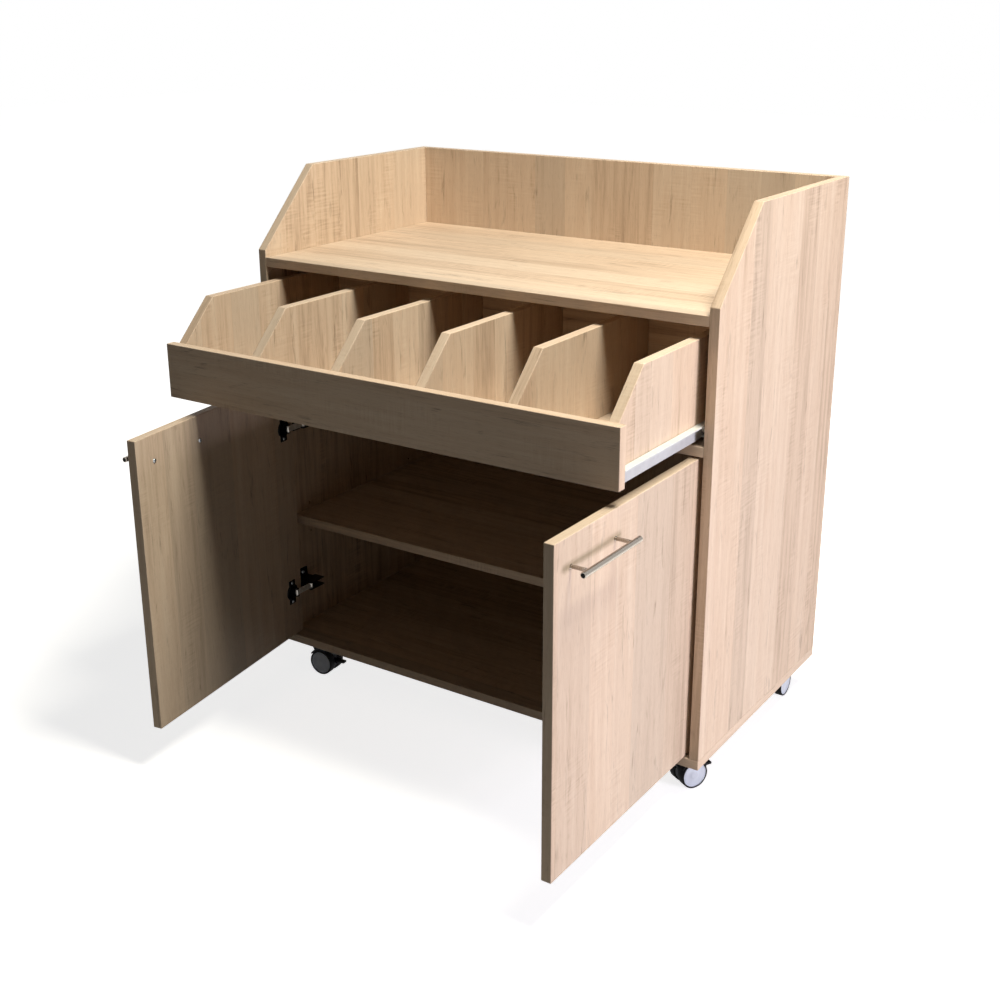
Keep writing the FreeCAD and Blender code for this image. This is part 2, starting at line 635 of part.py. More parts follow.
LINK_STEEL = 2
EAR_LOW = f"(Dim.link_half_height + {EAR_GAP})"


def handle_spots():
    """X of the two posts on the shut right door."""
    outer = "(Dim.door_meeting_gap / 2 + Dim.handle_edge)"
    return outer, f"({outer} + Dim.handle_centres)"


def wing_screws(name, pilot=False):
    """Wood screws through the wings of both cups into the right door."""
    face = f"{DOOR_INNER_FACE} + Dim.cup_rim"
    return [screw(name, WING_SCREW, WING_SCREW_HEAD, (CUP_X, face, f"{z} + {step}"), "Y", pilot)
            for z in HINGE_HEIGHTS
            for step in (-WING_SCREW_STEP, WING_SCREW_STEP)]


def shut_door():
    """The right door, shut, with its cup holes and screw holes."""
    panel = box("door_blank", f"{DOOR_HINGE_EDGE} - Dim.door_meeting_gap / 2", "Dim.board",
                f"{DOOR_TOP} - {DOOR_FOOT}", "Dim.door_meeting_gap / 2", "Dim.front_plane", DOOR_FOOT)
    holes = [
        rod("cup_hole", "Dim.cup_radius", "Dim.cup_depth", CUP_X,
            f"{DOOR_INNER_FACE} - Dim.cup_depth", z, "Y")
        for z in HINGE_HEIGHTS
    ]
    holes += [
        rod("handle_hole", "Dim.screw_radius + Dim.screw_play", "Dim.board", x, "Dim.front_plane",
            HANDLE_Z, "Y")
        for x in handle_spots()
    ]
    return cut("door", panel, holes + wing_screws("wing_hole", pilot=True))


def handle_bar():
    start = f"{handle_spots()[0]} - (Dim.handle_length - Dim.handle_centres) / 2"
    bar = rod("handle_bar", "Dim.bar_radius", "Dim.handle_length", start,
              "Dim.front_plane - Dim.handle_reach", HANDLE_Z, "X")
    sockets = [rod("post_socket", "Dim.post_radius", "Dim.handle_reach", x, POST_TIP, HANDLE_Z, "Y")
               for x in handle_spots()]
    return cut("handle_bar_socketed", bar, sockets)


def handle_posts():
    """Two posts from the door's face into the bar, tapped for the screws."""
    posts = []
    for x in handle_spots():
        post = rod("post", "Dim.post_radius", f"Dim.front_plane - ({POST_TIP})", x, POST_TIP,
                   HANDLE_Z, "Y")
        thread = rod("post_thread", "Dim.screw_radius", "Dim.handle_thread", x,
                     "Dim.front_plane - Dim.handle_thread", HANDLE_Z, "Y")
        posts.append(cut("handle_post", post, [thread]))
    return gather("handle_posts", posts)


def door_screws():
    """Handle screws with pan heads on the door's inner face, and the cups' wood screws."""
    shank = ("Dim.screw_radius", "-(Dim.board + Dim.handle_thread)")
    screws = [screw("handle_screw", shank, HANDLE_HEAD, (x, DOOR_INNER_FACE, HANDLE_Z), "Y")
              for x in handle_spots()]
    return gather("door_screws", screws + wing_screws("wing_screw"))


def hinge_cup(z):
    """A pressed cup with screw wings, two ears, and the link's pin between them."""
    floor = f"{DOOR_INNER_FACE} - Dim.cup_depth"
    bowl = rod("cup_bowl", "Dim.cup_radius", "Dim.cup_depth + Dim.cup_rim", CUP_X, floor, z, "Y")
    wing = box("cup_wing", WING_WIDTH, "Dim.cup_rim", 2 * WING_HALF_HEIGHT,
               f"{CUP_X} - {WING_WIDTH / 2}", DOOR_INNER_FACE, f"{z} - {WING_HALF_HEIGHT}")
    mouth = rod("cup_mouth", f"Dim.cup_radius - {CUP_WALL}", "Dim.cup_depth + Dim.cup_rim", CUP_X,
                f"{floor} + {CUP_FLOOR}", z, "Y")
    bores = wing_screws("wing_bore", pilot=True)
    shell = cut("cup_shell", fuse("cup_pressing", [bowl, wing]), [mouth] + bores)
    ears = [
        box("cup_ear", "2 * Dim.link_eye",
            f"Dim.cup_depth + Dim.link_rise + Dim.link_eye - {EAR_ROOT}", EAR_THICK,
            f"{LINK_X} - Dim.link_eye", f"{floor} + {EAR_ROOT}", low)
        for low in (f"{z} + {EAR_LOW}", f"{z} - {EAR_LOW} - {EAR_THICK}")
    ]
    pin = rod("link_pin", "Dim.link_pin", f"2 * ({EAR_LOW} + {EAR_THICK})", LINK_X, LINK_Y,
              f"{z} - {EAR_LOW} - {EAR_THICK}")
    return fuse("hinge_cup", [shell, pin] + ears)


def hinge_links(name, x, y):
    """Two links that point to the back from their pins, with a rolled eye at both ends."""
    links = []
    for z in HINGE_HEIGHTS:
        low = f"{z} - Dim.link_half_height"
        height = "2 * Dim.link_half_height"
        strap = box(name + "_strap", LINK_STEEL, "Dim.link_length", height, x - LINK_STEEL / 2, y,
                    low)
        eyes = [rod(name + "_eye", "Dim.link_eye", height, x, f"{y} + {step}", low)
                for step in (0, "Dim.link_length")]
        bore = rod(name + "_bore", "Dim.link_pin + Dim.running_play", height, x, y, low)
        links.append(cut(name, fuse(name + "_blank", [strap] + eyes), [bore]))
    return gather(name + "s", links)


def doors():
    """Both doors with all that they carry, turned open about their axes."""
    pieces = {"door": shut_door(), "handle_bar": handle_bar(), "handle_posts": handle_posts(),
              "door_screws": door_screws(),
              "hinge_cups": gather("hinge_cups", [hinge_cup(z) for z in HINGE_HEIGHTS])}
    inner = size("body_width") / 2 - size("board")
    pin_out = size("door_hinge_gap") + size("link_inset") - size("pivot_inset")
    pin_in = size("board") + size("link_rise") - size("pivot_depth")
    for side in SIDES:
        pivot = VECTOR(sign(side) * (inner - size("pivot_inset")),
                       size("front_plane") + size("pivot_depth"), 0)
        turn = FreeCAD.Rotation(AXES["Z"], sign(side) * size(side + "_door_angle"))
        placement = FreeCAD.Placement(VECTOR(), turn, pivot)
        for label, right in pieces.items():
            shut = right if side == "right" else mirrored("left_" + label + "_shut", right)
            keep(side + "_door" if label == "door" else f"{side}_{label}", shut, placement)
        pin = placement.multVec(pivot + VECTOR(-sign(side) * pin_out, pin_in, 0))
        keep(side + "_hinge_links", hinge_links(side + "_hinge_link", pin.x, pin.y))


# ---------------------------------------------------------------- hinge arms on the sides
PLATE_SETBACK = 8
PLATE_LENGTH = 28
PLATE_HALF_HEIGHT = 25
PLATE_STEEL = 3
PLATE_SCREW_STEP = 16
PLATE_SCREW = ("Dim.screw_radius", 16)
PLATE_SCREW_HEAD = (4, "-1.8")
BLOCK_HALF_HEIGHT = 7.4
ARM_STEEL = 2
ARM_WALL = 1.8
ARM_GAP = 0.3
ARM_FRONT_GAP = 1.6
ARM_TAIL = 6
EYE_GAP = 8
SWING_GAP = 0.5
# The arm's front clears the pin's ears on the shut door, and its walls reach past the link's
# swing, whose radius runs from the door's axis to the pin.
ARM_Y = f"({LINK_Y} + Dim.link_eye + {ARM_FRONT_GAP})"
ARM_BACK = f"(Dim.door_hinge_gap + Dim.link_inset - Dim.link_eye - {EYE_GAP})"
PIN_OUT = "(Dim.door_hinge_gap + Dim.link_inset - Dim.pivot_inset)"
PIN_IN = "(Dim.board + Dim.link_rise - Dim.pivot_depth)"
ARM_REACH = f"(Dim.pivot_inset + hypot({PIN_OUT}; {PIN_IN}) + {ARM_STEEL + SWING_GAP})"
PLATE_Y = f"({ARM_Y} + {PLATE_SETBACK})"
ARM_SLOT = f"(Dim.link_half_height + {ARM_GAP})"


def hinge_plate_screws(name, pilot=False):
    """Screws through the right hinge plates into the side."""
    face = f"{INNER} - {PLATE_STEEL}"
    middle = f"{PLATE_Y} + {PLATE_LENGTH / 2}"
    return [screw(name, PLATE_SCREW, PLATE_SCREW_HEAD, (face, middle, f"{z} + {step}"), "X", pilot)
            for z in HINGE_HEIGHTS
            for step in (-PLATE_SCREW_STEP, PLATE_SCREW_STEP)]


def hinge_plate(z):
    """A cruciform plate on the side, with the block that the arm clips over."""
    wing = box("plate_wing", PLATE_STEEL, PLATE_LENGTH, 2 * PLATE_HALF_HEIGHT,
               f"{INNER} - {PLATE_STEEL}", PLATE_Y, f"{z} - {PLATE_HALF_HEIGHT}")
    block = box("plate_block", f"{ARM_BACK} - {ARM_STEEL}", PLATE_LENGTH, 2 * BLOCK_HALF_HEIGHT,
                f"{INNER} - {ARM_BACK} + {ARM_STEEL}", PLATE_Y, f"{z} - {BLOCK_HALF_HEIGHT}")
    return cut("hinge_plate", fuse("hinge_plate_blank", [wing, block]),
               hinge_plate_screws("plate_hole", pilot=True))


def hinge_arm(z):
    """A channel, open towards the middle, that the link's tail runs in."""
    length = f"{PLATE_Y} + {PLATE_LENGTH + ARM_TAIL} - {ARM_Y}"
    web = box("arm_web", ARM_STEEL, length, f"2 * ({ARM_SLOT} + {ARM_WALL})",
              f"{INNER} - {ARM_BACK}", ARM_Y, f"{z} - {ARM_SLOT} - {ARM_WALL}")
    walls = [
        box("arm_wall", f"{ARM_REACH} - {ARM_BACK} + {ARM_STEEL}", length, ARM_WALL,
            f"{INNER} - {ARM_REACH}", ARM_Y, low)
        for low in (f"{z} + {ARM_SLOT}", f"{z} - {ARM_SLOT} - {ARM_WALL}")
    ]
    return fuse("hinge_arm", [web] + walls)


def hinge_arms():
    both_sides("hinge_plates", [hinge_plate(z) for z in HINGE_HEIGHTS])
    both_sides("hinge_arms", [hinge_arm(z) for z in HINGE_HEIGHTS])
    both_sides("hinge_plate_screws", hinge_plate_screws("hinge_plate_screw"))


# ---------------------------------------------------------------- castors
# Heading of each castor's trail in degrees from +X; the front ones have a brake.
HEADINGS = {"front_left": 4, "front_right": 60, "rear_left": 12, "rear_right": -90}
KING_PIN_INSET = {"front": "castor_side", "rear": "rear_castor_side"}
KING_PIN_Y = {
    "front": "Dim.front_plane + Dim.castor_front",
    "rear": f"{REAR} - Dim.castor_front",
}
BOSS_RADIUS = 11
BOSS_GAP = 0.2
WEB_HALF = 5.5
WEB_RADIUS = 16
HOOD_GAP = 1.4
HOOD_WALL = 2.4
HOOD_ARC = (62, 150)
HOOD_SIDE_INSET = 1
NECK_HALF = 9
NECK_GAP = 2
NECK_ANGLE = 37
NECK_OVERLAP = 2.5
LEVER_ANGLE = 5
LEVER_PIN_GAP = 7
LEVER_PIN = 1.5
LEVER_BARREL = 3.2
LEVER_HALF = 5.4
LEVER_EAR = 2
LEVER_LENGTH = 14
LEVER_SLOPE = 0
LEVER_ROOT = 1.6
LEVER_TIP = 1.2
CASTOR_SCREW = ("Dim.screw_radius", 16)
CASTOR_SCREW_HEAD = (3.6, "-1.6")
PLATE_UNDER = f"({BOTTOM_UNDER} - Dim.plate_thickness)"


def castor_spot(corner):
    """X and Y of a king pin, as expressions."""
    end, side = corner.split("_")
    return f"{sign(side)} * ({HALF} - Dim.{KING_PIN_INSET[end]})", KING_PIN_Y[end]


def castor_screws(name, pilot=False):
    """Four screws for each castor, up through its plate into the bottom panel."""
    steps = ("-Dim.plate_bolt", "+Dim.plate_bolt")
    spots = [(f"{x} {across}", f"{y} {along}")
             for x, y in map(castor_spot, HEADINGS)
             for across in steps
             for along in steps]
    return [screw(name, CASTOR_SCREW, CASTOR_SCREW_HEAD, (x, y, PLATE_UNDER), "Z", pilot)
            for x, y in spots]


def castor_plates():
    plates = []
    for x, y in map(castor_spot, HEADINGS):
        plate = box("castor_plate", "Dim.plate_side", "Dim.plate_side", "Dim.plate_thickness",
                    f"{x} - Dim.plate_side / 2", f"{y} - Dim.plate_side / 2", PLATE_UNDER)
        king_hole = rod("king_hole", "Dim.king_pin + Dim.running_play", "Dim.plate_thickness", x, y,
                        PLATE_UNDER)
        plates.append(cut("castor_plate_bored", plate, [king_hole]))
    blank = gather("castor_plates_bored", plates)
    drilled = cut("castor_plates", blank, castor_screws("plate_drill", pilot=True))
    keep("castor_plates", drilled)
    keep("castor_screws", gather("castor_screws", castor_screws("castor_screw")))


def polar(centre, radius, degrees):
    """A point in a castor's middle plane, by its angle up from the trail's heading."""
    turn = math.radians(degrees)
    return centre + VECTOR(math.cos(turn), 0, math.sin(turn)) * radius


def slab(corners, low, thickness):
    """A flat piece across a castor, from its outline in the middle plane."""
    corners = [corner + VECTOR(0, low, 0) for corner in corners]
    return Part.Face(Part.makePolygon(corners + corners[:1])).extrude(VECTOR(0, thickness, 0))


def across(radius, half, centre):
    """A cylinder across a castor."""
    return Part.makeCylinder(radius, 2 * half, centre - VECTOR(0, half, 0), AXES["Y"])


def fender(axle):
    """The arched cover over both wheels."""
    half = size("wheel_outer") - HOOD_SIDE_INSET
    inner = size("wheel_radius") + HOOD_GAP
    first, last = HOOD_ARC
    reach = 4 * inner
    wedge = [axle] + [polar(axle, reach, turn) for turn in (first, (first + last) / 2, last)]
    ring = across(inner + HOOD_WALL, half, axle).cut(across(inner, half, axle))
    return ring.common(slab(wedge, -half, 2 * half))


def lever_bearing(axle):
    """Two ears and the pin that carry a brake lever."""
    pin = polar(axle, size("wheel_radius") + LEVER_PIN_GAP, LEVER_ANGLE)
    root = polar(axle, size("wheel_radius") / 2, LEVER_ANGLE)
    side = polar(VECTOR(), LEVER_BARREL, LEVER_ANGLE + 90)
    outline = [root - side, root + side, pin + side, pin - side]
    half = LEVER_HALF + BOSS_GAP + LEVER_EAR
    wheel_room = across(size("wheel_radius") + HOOD_GAP, 2 * WEB_RADIUS, axle)
    barrel_room = across(LEVER_BARREL + 2 * BOSS_GAP, WEB_RADIUS, pin)
    ears = [slab(outline, low, LEVER_EAR).cut(wheel_room) for low in (half - LEVER_EAR, -half)]
    strut = slab(outline, -WEB_HALF, 2 * WEB_HALF).cut(barrel_room)
    bridge = across(size("wheel_radius") + HOOD_GAP + HOOD_WALL, half, axle).cut(wheel_room)
    bridge = bridge.common(slab(outline, -WEB_RADIUS, 2 * WEB_RADIUS)).cut(barrel_room)
    return ears + [strut, bridge, across(LEVER_PIN, half, pin)]


def castor_hood(name, braked):
    """Swivelling body: boss and king pin, web round the axle, and a fender over the wheels."""
    radius = size("wheel_radius")
    axle = VECTOR(size("castor_trail"), 0, radius)
    plate_under = size("castor_height") - size("plate_thickness")
    neck_top = 2 * radius + NECK_GAP
    boss_foot = neck_top - NECK_OVERLAP
    neck = [VECTOR(-NECK_HALF, 0, neck_top), VECTOR(NECK_HALF, 0, neck_top),
            polar(axle, WEB_RADIUS, NECK_ANGLE), polar(axle, WEB_RADIUS, NECK_ANGLE + 180)]
    foot = VECTOR(0, 0, boss_foot)
    shapes = [
        Part.makeCylinder(BOSS_RADIUS, plate_under - BOSS_GAP - boss_foot, foot),
        Part.makeCylinder(size("king_pin"), size("castor_height") - BOSS_GAP - boss_foot, foot),
        across(WEB_RADIUS, WEB_HALF, axle),
        slab(neck, -WEB_HALF, 2 * WEB_HALF),
        fender(axle),
    ]
    if braked:
        shapes += lever_bearing(axle)
    bore = across(size("axle_radius") + size("running_play"), 2 * WEB_RADIUS, axle)
    hood = doc.addObject("Part::Feature", name)
    hood.Shape = shapes[0].multiFuse(shapes[1:]).cut(bore).removeSplitter()
    return hood


def castor_wheels():
    """Two hub discs on one axle, and their tyres."""
    hub_radius = "Dim.wheel_radius - Dim.tyre_thickness"
    width = "Dim.wheel_outer - Dim.wheel_inner"
    discs, tyres = [], []
    for start in ("Dim.wheel_inner", "-Dim.wheel_outer"):
        at = ("Dim.castor_trail", start, "Dim.wheel_radius", "Y")
        discs.append(rod("hub_disc", hub_radius, width, *at))
        ring = rod("tyre_disc", "Dim.wheel_radius", width, *at)
        tyres.append(cut("tyre", ring, [rod("tyre_bore", hub_radius, width, *at)]))
    axle = rod("castor_axle", "Dim.axle_radius", "2 * Dim.wheel_outer", "Dim.castor_trail",
               "-Dim.wheel_outer", "Dim.wheel_radius", "Y")
    return fuse("castor_hubs", discs + [axle]), gather("castor_tyres", tyres)


def brake_lever():
    """A pedal that turns on the hood's pin and points outward, level at rest."""
    axle = VECTOR(size("castor_trail"), 0, size("wheel_radius"))
    pin = polar(axle, size("wheel_radius") + LEVER_PIN_GAP, LEVER_ANGLE)
    along = polar(VECTOR(), 1, LEVER_SLOPE)
    up = polar(VECTOR(), 1, LEVER_SLOPE + 90)
    tip = pin + along * LEVER_LENGTH
    outline = [pin - up * LEVER_ROOT, tip - up * LEVER_TIP, tip + up * LEVER_BARREL,
               pin + up * LEVER_BARREL]
    pedal = slab(outline, -LEVER_HALF, 2 * LEVER_HALF)
    bore = across(LEVER_PIN + size("running_play"), LEVER_HALF, pin)
    lever = doc.addObject("Part::Feature", "brake_lever_shape")
    lever.Shape = across(LEVER_BARREL, LEVER_HALF, pin).fuse(pedal).cut(bore).removeSplitter()
    return lever


def castors():
    hoods = {True: castor_hood("braked_hood", True), False: castor_hood("plain_hood", False)}
    hubs, tyres = castor_wheels()
    lever = brake_lever()
    half_width = size("body_width") / 2
    middle = size("front_plane") + size("body_depth") / 2
    half_base = size("body_depth") / 2 - size("castor_front")
    for corner, heading in HEADINGS.items():
        end, side = corner.split("_")
        braked = end == "front"
        reach = half_width - size(KING_PIN_INSET[end])
        spot = VECTOR(sign(side) * reach, middle - half_base if braked else middle + half_base, 0)
        placement = FreeCAD.Placement(spot, FreeCAD.Rotation(AXES["Z"], heading))
        keep(corner + "_castor_hood", hoods[braked], placement)
        keep(corner + "_castor_wheels", hubs, placement)
        keep(corner + "_castor_tyres", tyres, placement)
        if braked:
            keep(corner + "_brake_lever", lever, placement)


def check():
    """Stop if anything in the document failed or any sub-part isn't a sound solid."""
    for item in doc.Objects:
        if "Invalid" in item.State or "Error" in item.State:
            raise RuntimeError(f"{item.Label} failed: {item.State}")
    for piece in finished:
        if piece.Shape.isNull() or not piece.Shape.isValid() or not piece.Shape.Solids:
            raise RuntimeError(f"{piece.Label} has no sound solid")


for side in SIDES:
    side_panel(side)
panels()
carcass_fittings()
drawer()
runners()
doors()
hinge_arms()
castor_plates()
castors()
doc.recompute()
check()
os.makedirs("parts", exist_ok=True)
for piece in finished:
    piece.Shape.exportStep(f"parts/{piece.Label}.step")
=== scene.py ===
"""Dresses the waiter service station: its boards, runners, hinges, handles, castors and stage.

Lengths are in metres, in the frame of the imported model: +Z up, the floor at 0, the doors
towards -Y. What the solids leave plain is sized by the two property groups below.
"""
import json
import math

import bmesh
import bpy
from mathutils import Matrix, Vector


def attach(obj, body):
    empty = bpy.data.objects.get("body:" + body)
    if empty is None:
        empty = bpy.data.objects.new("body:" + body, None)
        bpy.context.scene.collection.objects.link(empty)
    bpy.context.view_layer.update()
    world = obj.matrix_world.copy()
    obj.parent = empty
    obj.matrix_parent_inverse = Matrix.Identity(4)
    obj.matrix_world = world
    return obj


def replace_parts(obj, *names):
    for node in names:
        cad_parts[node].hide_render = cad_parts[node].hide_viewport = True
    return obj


bl_info = {
    "name": "Service station finish",
    "version": (1, 0, 0),
    "blender": (4, 5, 0),
    "location": "View3D > Sidebar > Station",
    "description": "Boards, fittings, castors and stage of a waiter service station",
    "category": "Object",
}

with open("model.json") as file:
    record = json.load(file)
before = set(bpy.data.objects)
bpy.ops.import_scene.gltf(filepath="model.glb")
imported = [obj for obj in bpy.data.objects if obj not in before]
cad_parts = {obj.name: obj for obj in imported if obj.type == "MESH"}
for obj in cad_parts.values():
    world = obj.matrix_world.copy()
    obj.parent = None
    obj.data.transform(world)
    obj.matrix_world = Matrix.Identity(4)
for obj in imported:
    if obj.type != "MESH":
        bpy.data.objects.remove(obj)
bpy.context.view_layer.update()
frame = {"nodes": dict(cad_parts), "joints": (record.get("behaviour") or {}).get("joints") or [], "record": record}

MM = 0.001
AXES = {"X": Vector((1, 0, 0)), "Y": Vector((0, 1, 0)), "Z": Vector((0, 0, 1))}
NODE_BODY = {
    node: body
    for body, nodes in frame["record"]["behaviour"]["bodies"].items()
    for node in nodes
}
JOINTS = {joint["name"]: joint for joint in frame["joints"]}
MERGE = 1e-6
FLAT = math.radians(0.5)
FACET = math.radians(34)


def linear(hex_colour):
    """An sRGB hex colour as the linear colour that Blender's sockets hold."""
    values = [int(hex_colour[start:start + 2], 16) / 255 for start in (1, 3, 5)]
    return [v / 12.92 if v <= 0.04045 else ((v + 0.055) / 1.055) ** 2.4 for v in values]


# ---------------------------------------------------------------- sizes and colours
def length(label, text, default):
    """A length of the finish, in metres."""
    return bpy.props.FloatProperty(name=label, description=text, default=default, unit="LENGTH")


def colour(label, text, default):
    """A colour of the finish, given as sRGB hex."""
    return bpy.props.FloatVectorProperty(name=label, description=text, default=linear(default),
                                         subtype="COLOR", size=3, min=0, max=1)


class StationSizes(bpy.types.PropertyGroup):
    """Sizes of what the solids leave plain."""
    board_edge: length("Board edge", "Radius that the edge bands are milled to", 1.0 * MM)
    steel_edge: length("Steel edge", "Radius of folds and sheared edges", 0.35 * MM)
    moulded_edge: length("Moulded edge", "Radius of the castors' moulded edges", 0.7 * MM)
    stave: length("Stave", "Usual width of a stave in the oak print", 72 * MM)
    saw_mark: length("Saw mark", "Spacing of the saw marks across the grain", 4.2 * MM)
    bar_chamfer: length("Bar chamfer", "Chamfer at the ends of a handle bar", 0.9 * MM)
    wheel_groove: length("Wheel groove", "Depth of the ring round a castor's hub", 0.8 * MM)


class StationColours(bpy.types.PropertyGroup):
    """Colours of the finish."""
    oak_light: colour("Oak, light", "Lightest stave of the oak print", "#DBC8B2")
    oak_middle: colour("Oak, middle", "Usual tone of the oak print", "#CBB39B")
    oak_dark: colour("Oak, dark", "Streaks of the oak print", "#98816C")
    oak_vein: colour("Oak, vein", "Pores and veins of the oak print", "#66503F")
    oak_grey: colour("Oak, grey", "Limed cast over some staves", "#B7AA9A")
    enamel: colour("Enamel", "Epoxy coat of the runners", "#CDCFCC")
    hub: colour("Hub", "Castor wheels", "#D3DAE2")
    nylon_black: colour("Black nylon", "Castor hoods and brake levers", "#121214")
    tread: colour("Tread", "Castor tyres", "#161618")


# ---------------------------------------------------------------- materials
def add_node(tree, kind, inputs=None, **settings):
    """A node of a tree with its settings, and its inputs set or linked by name or number."""
    node = tree.nodes.new(kind)
    for name, value in settings.items():
        setattr(node, name, value)
    for name, value in (inputs or {}).items():
        if isinstance(value, bpy.types.NodeSocket):
            tree.links.new(value, node.inputs[name])
        else:
            node.inputs[name].default_value = value
    return node


def new_material(name, **shader_values):
    """A material with its constant values on the shader's own sockets."""
    material = bpy.data.materials.new(name)
    material.use_nodes = True
    tree = material.node_tree
    shader = tree.nodes["Principled BSDF"]
    for socket, value in shader_values.items():
        shader.inputs[socket.replace("_", " ")].default_value = value
    return material, tree, shader


def rgba(values):
    return (*values, 1.0)


def stretched(tree, place, along, across, shift=(0, 0)):
    """A place on the print in units of a grain feature: its length along and width across."""
    scaled = add_node(tree, "ShaderNodeVectorMath", {0: place, 1: (1 / along, 1 / across, 1)},
                      operation="MULTIPLY")
    moved = add_node(tree, "ShaderNodeCombineXYZ", {"X": shift[0], "Y": shift[1]})
    return add_node(tree, "ShaderNodeVectorMath", {0: scaled.outputs[0], 1: moved.outputs[0]},
                    operation="ADD").outputs[0]


def speckle(tree, place, detail=2.0, roughness=0.5, distortion=0.0):
    """Soft noise whose features are one unit of its place."""
    return add_node(tree, "ShaderNodeTexNoise",
                    {"Vector": place, "Scale": 1.0, "Detail": detail, "Roughness": roughness,
                     "Distortion": distortion}, noise_dimensions="2D").outputs["Fac"]


def ramp(tree, value, low, high, start=0.0, end=1.0):
    """A value from low to high, turned smoothly into start to end."""
    return add_node(tree, "ShaderNodeMapRange",
                    {"Value": value, "From Min": low, "From Max": high, "To Min": start,
                     "To Max": end}, interpolation_type="SMOOTHSTEP").outputs[0]


def maths(tree, operation, *values):
    inputs = dict(enumerate(values))
    return add_node(tree, "ShaderNodeMath", inputs, operation=operation).outputs[0]


def blend_colour(tree, share, first, second, mode="MIX"):
    return add_node(tree, "ShaderNodeMix", {0: share, 6: first, 7: second}, data_type="RGBA",
                    blend_type=mode).outputs[2]


# Features of the oak print: their length along the grain and their width across it.
WAVER = (260 * MM, 90 * MM)
STREAKS = (340 * MM, 14 * MM)
THREADS = (70 * MM, 2.2 * MM)
PORES = (22 * MM, 1.1 * MM)
RINGS = (420 * MM, 44 * MM)
VEIN_PATCHES = (130 * MM, 17 * MM)
VEIN_LINES = (46 * MM, 1.6 * MM)
SAWN_PATCHES = (170 * MM, 75 * MM)
SAW_MARK_WIDTH = 70 * MM
WAVER_REACH = 3 * MM
PORE_DEPTH = 0.12 * MM
RING_TURNS = 62.0
STAVE_TONES = (0.4, 0.66)  # darkest and lightest stave, on the scale from oak_dark to oak_light
STREAK_SHARE, THREAD_SHARE, SAWING_SHARE, RING_SHARE = 0.68, 0.34, 0.5, 0.04
GREY_SHARE, PORE_SHARE, VEIN_SHARE, SEAM_SHARE = 0.45, 0.2, 0.5, 0.08
TONE_STOPS = {"oak_dark": 0.0, "oak_middle": 0.45, "oak_light": 0.95}


def contrast(tree, value, share):
    """A value's distance from its middle, taken by a share."""
    return maths(tree, "MULTIPLY", maths(tree, "SUBTRACT", value, 0.5), share)


def stave_pattern(tree, place, stave):
    """Three numbers of each stave's own, and the distance to the seam beside it."""
    split = add_node(tree, "ShaderNodeSeparateXYZ", {0: place})
    waver = speckle(tree, stretched(tree, place, *WAVER))
    across = maths(tree, "ADD", split.outputs["Y"], maths(tree, "MULTIPLY", waver, WAVER_REACH))
    cells = {"W": maths(tree, "DIVIDE", across, stave), "Scale": 1.0, "Randomness": 0.9}
    own = add_node(tree, "ShaderNodeTexVoronoi", cells, voronoi_dimensions="1D").outputs["Color"]
    seam = add_node(tree, "ShaderNodeTexVoronoi", cells, voronoi_dimensions="1D",
                    feature="DISTANCE_TO_EDGE").outputs["Distance"]
    return add_node(tree, "ShaderNodeSeparateColor", {0: own}).outputs, seam


def oak_tone(tree, place, shift, own, threads, saw_mark):
    """Lightness of the print: stave, streaks, threads, rings of late wood and saw marks."""
    streaks = speckle(tree, stretched(tree, place, *STREAKS, shift), 3.0, 0.55, 0.2)
    rings = speckle(tree, stretched(tree, place, *RINGS, shift), 1.0, 0.45, 0.1)
    late_wood = maths(tree, "SINE", maths(tree, "MULTIPLY", rings, RING_TURNS))
    marks = speckle(tree, stretched(tree, place, saw_mark, SAW_MARK_WIDTH, shift), 2.0, 0.5, 0.15)
    sawn = ramp(tree, speckle(tree, stretched(tree, place, *SAWN_PATCHES)), 0.5, 0.66)
    tone = ramp(tree, own[0], 0.0, 1.0, *STAVE_TONES)
    for part in (
        contrast(tree, streaks, STREAK_SHARE),
        contrast(tree, threads, THREAD_SHARE),
        maths(tree, "MULTIPLY", late_wood, ramp(tree, own[2], 0.35, 0.85, 0.0, RING_SHARE)),
        maths(tree, "MULTIPLY", sawn, contrast(tree, marks, SAWING_SHARE)),
    ):
        tone = maths(tree, "ADD", tone, part)
    return tone


def oak_colour(tree, tone, grey, colours):
    """Colour of the print from its lightness, with a limed cast over the greyer staves."""
    tones = add_node(tree, "ShaderNodeValToRGB", {0: tone})
    elements = tones.color_ramp.elements
    while len(elements) < len(TONE_STOPS):
        elements.new(0.5)
    for element, (name, position) in zip(elements, TONE_STOPS.items()):
        element.position = position
        element.color = rgba(getattr(colours, name))
    return blend_colour(tree, ramp(tree, grey, 0.45, 1.0, 0.0, GREY_SHARE), tones.outputs[0],
                        rgba(colours.oak_grey))


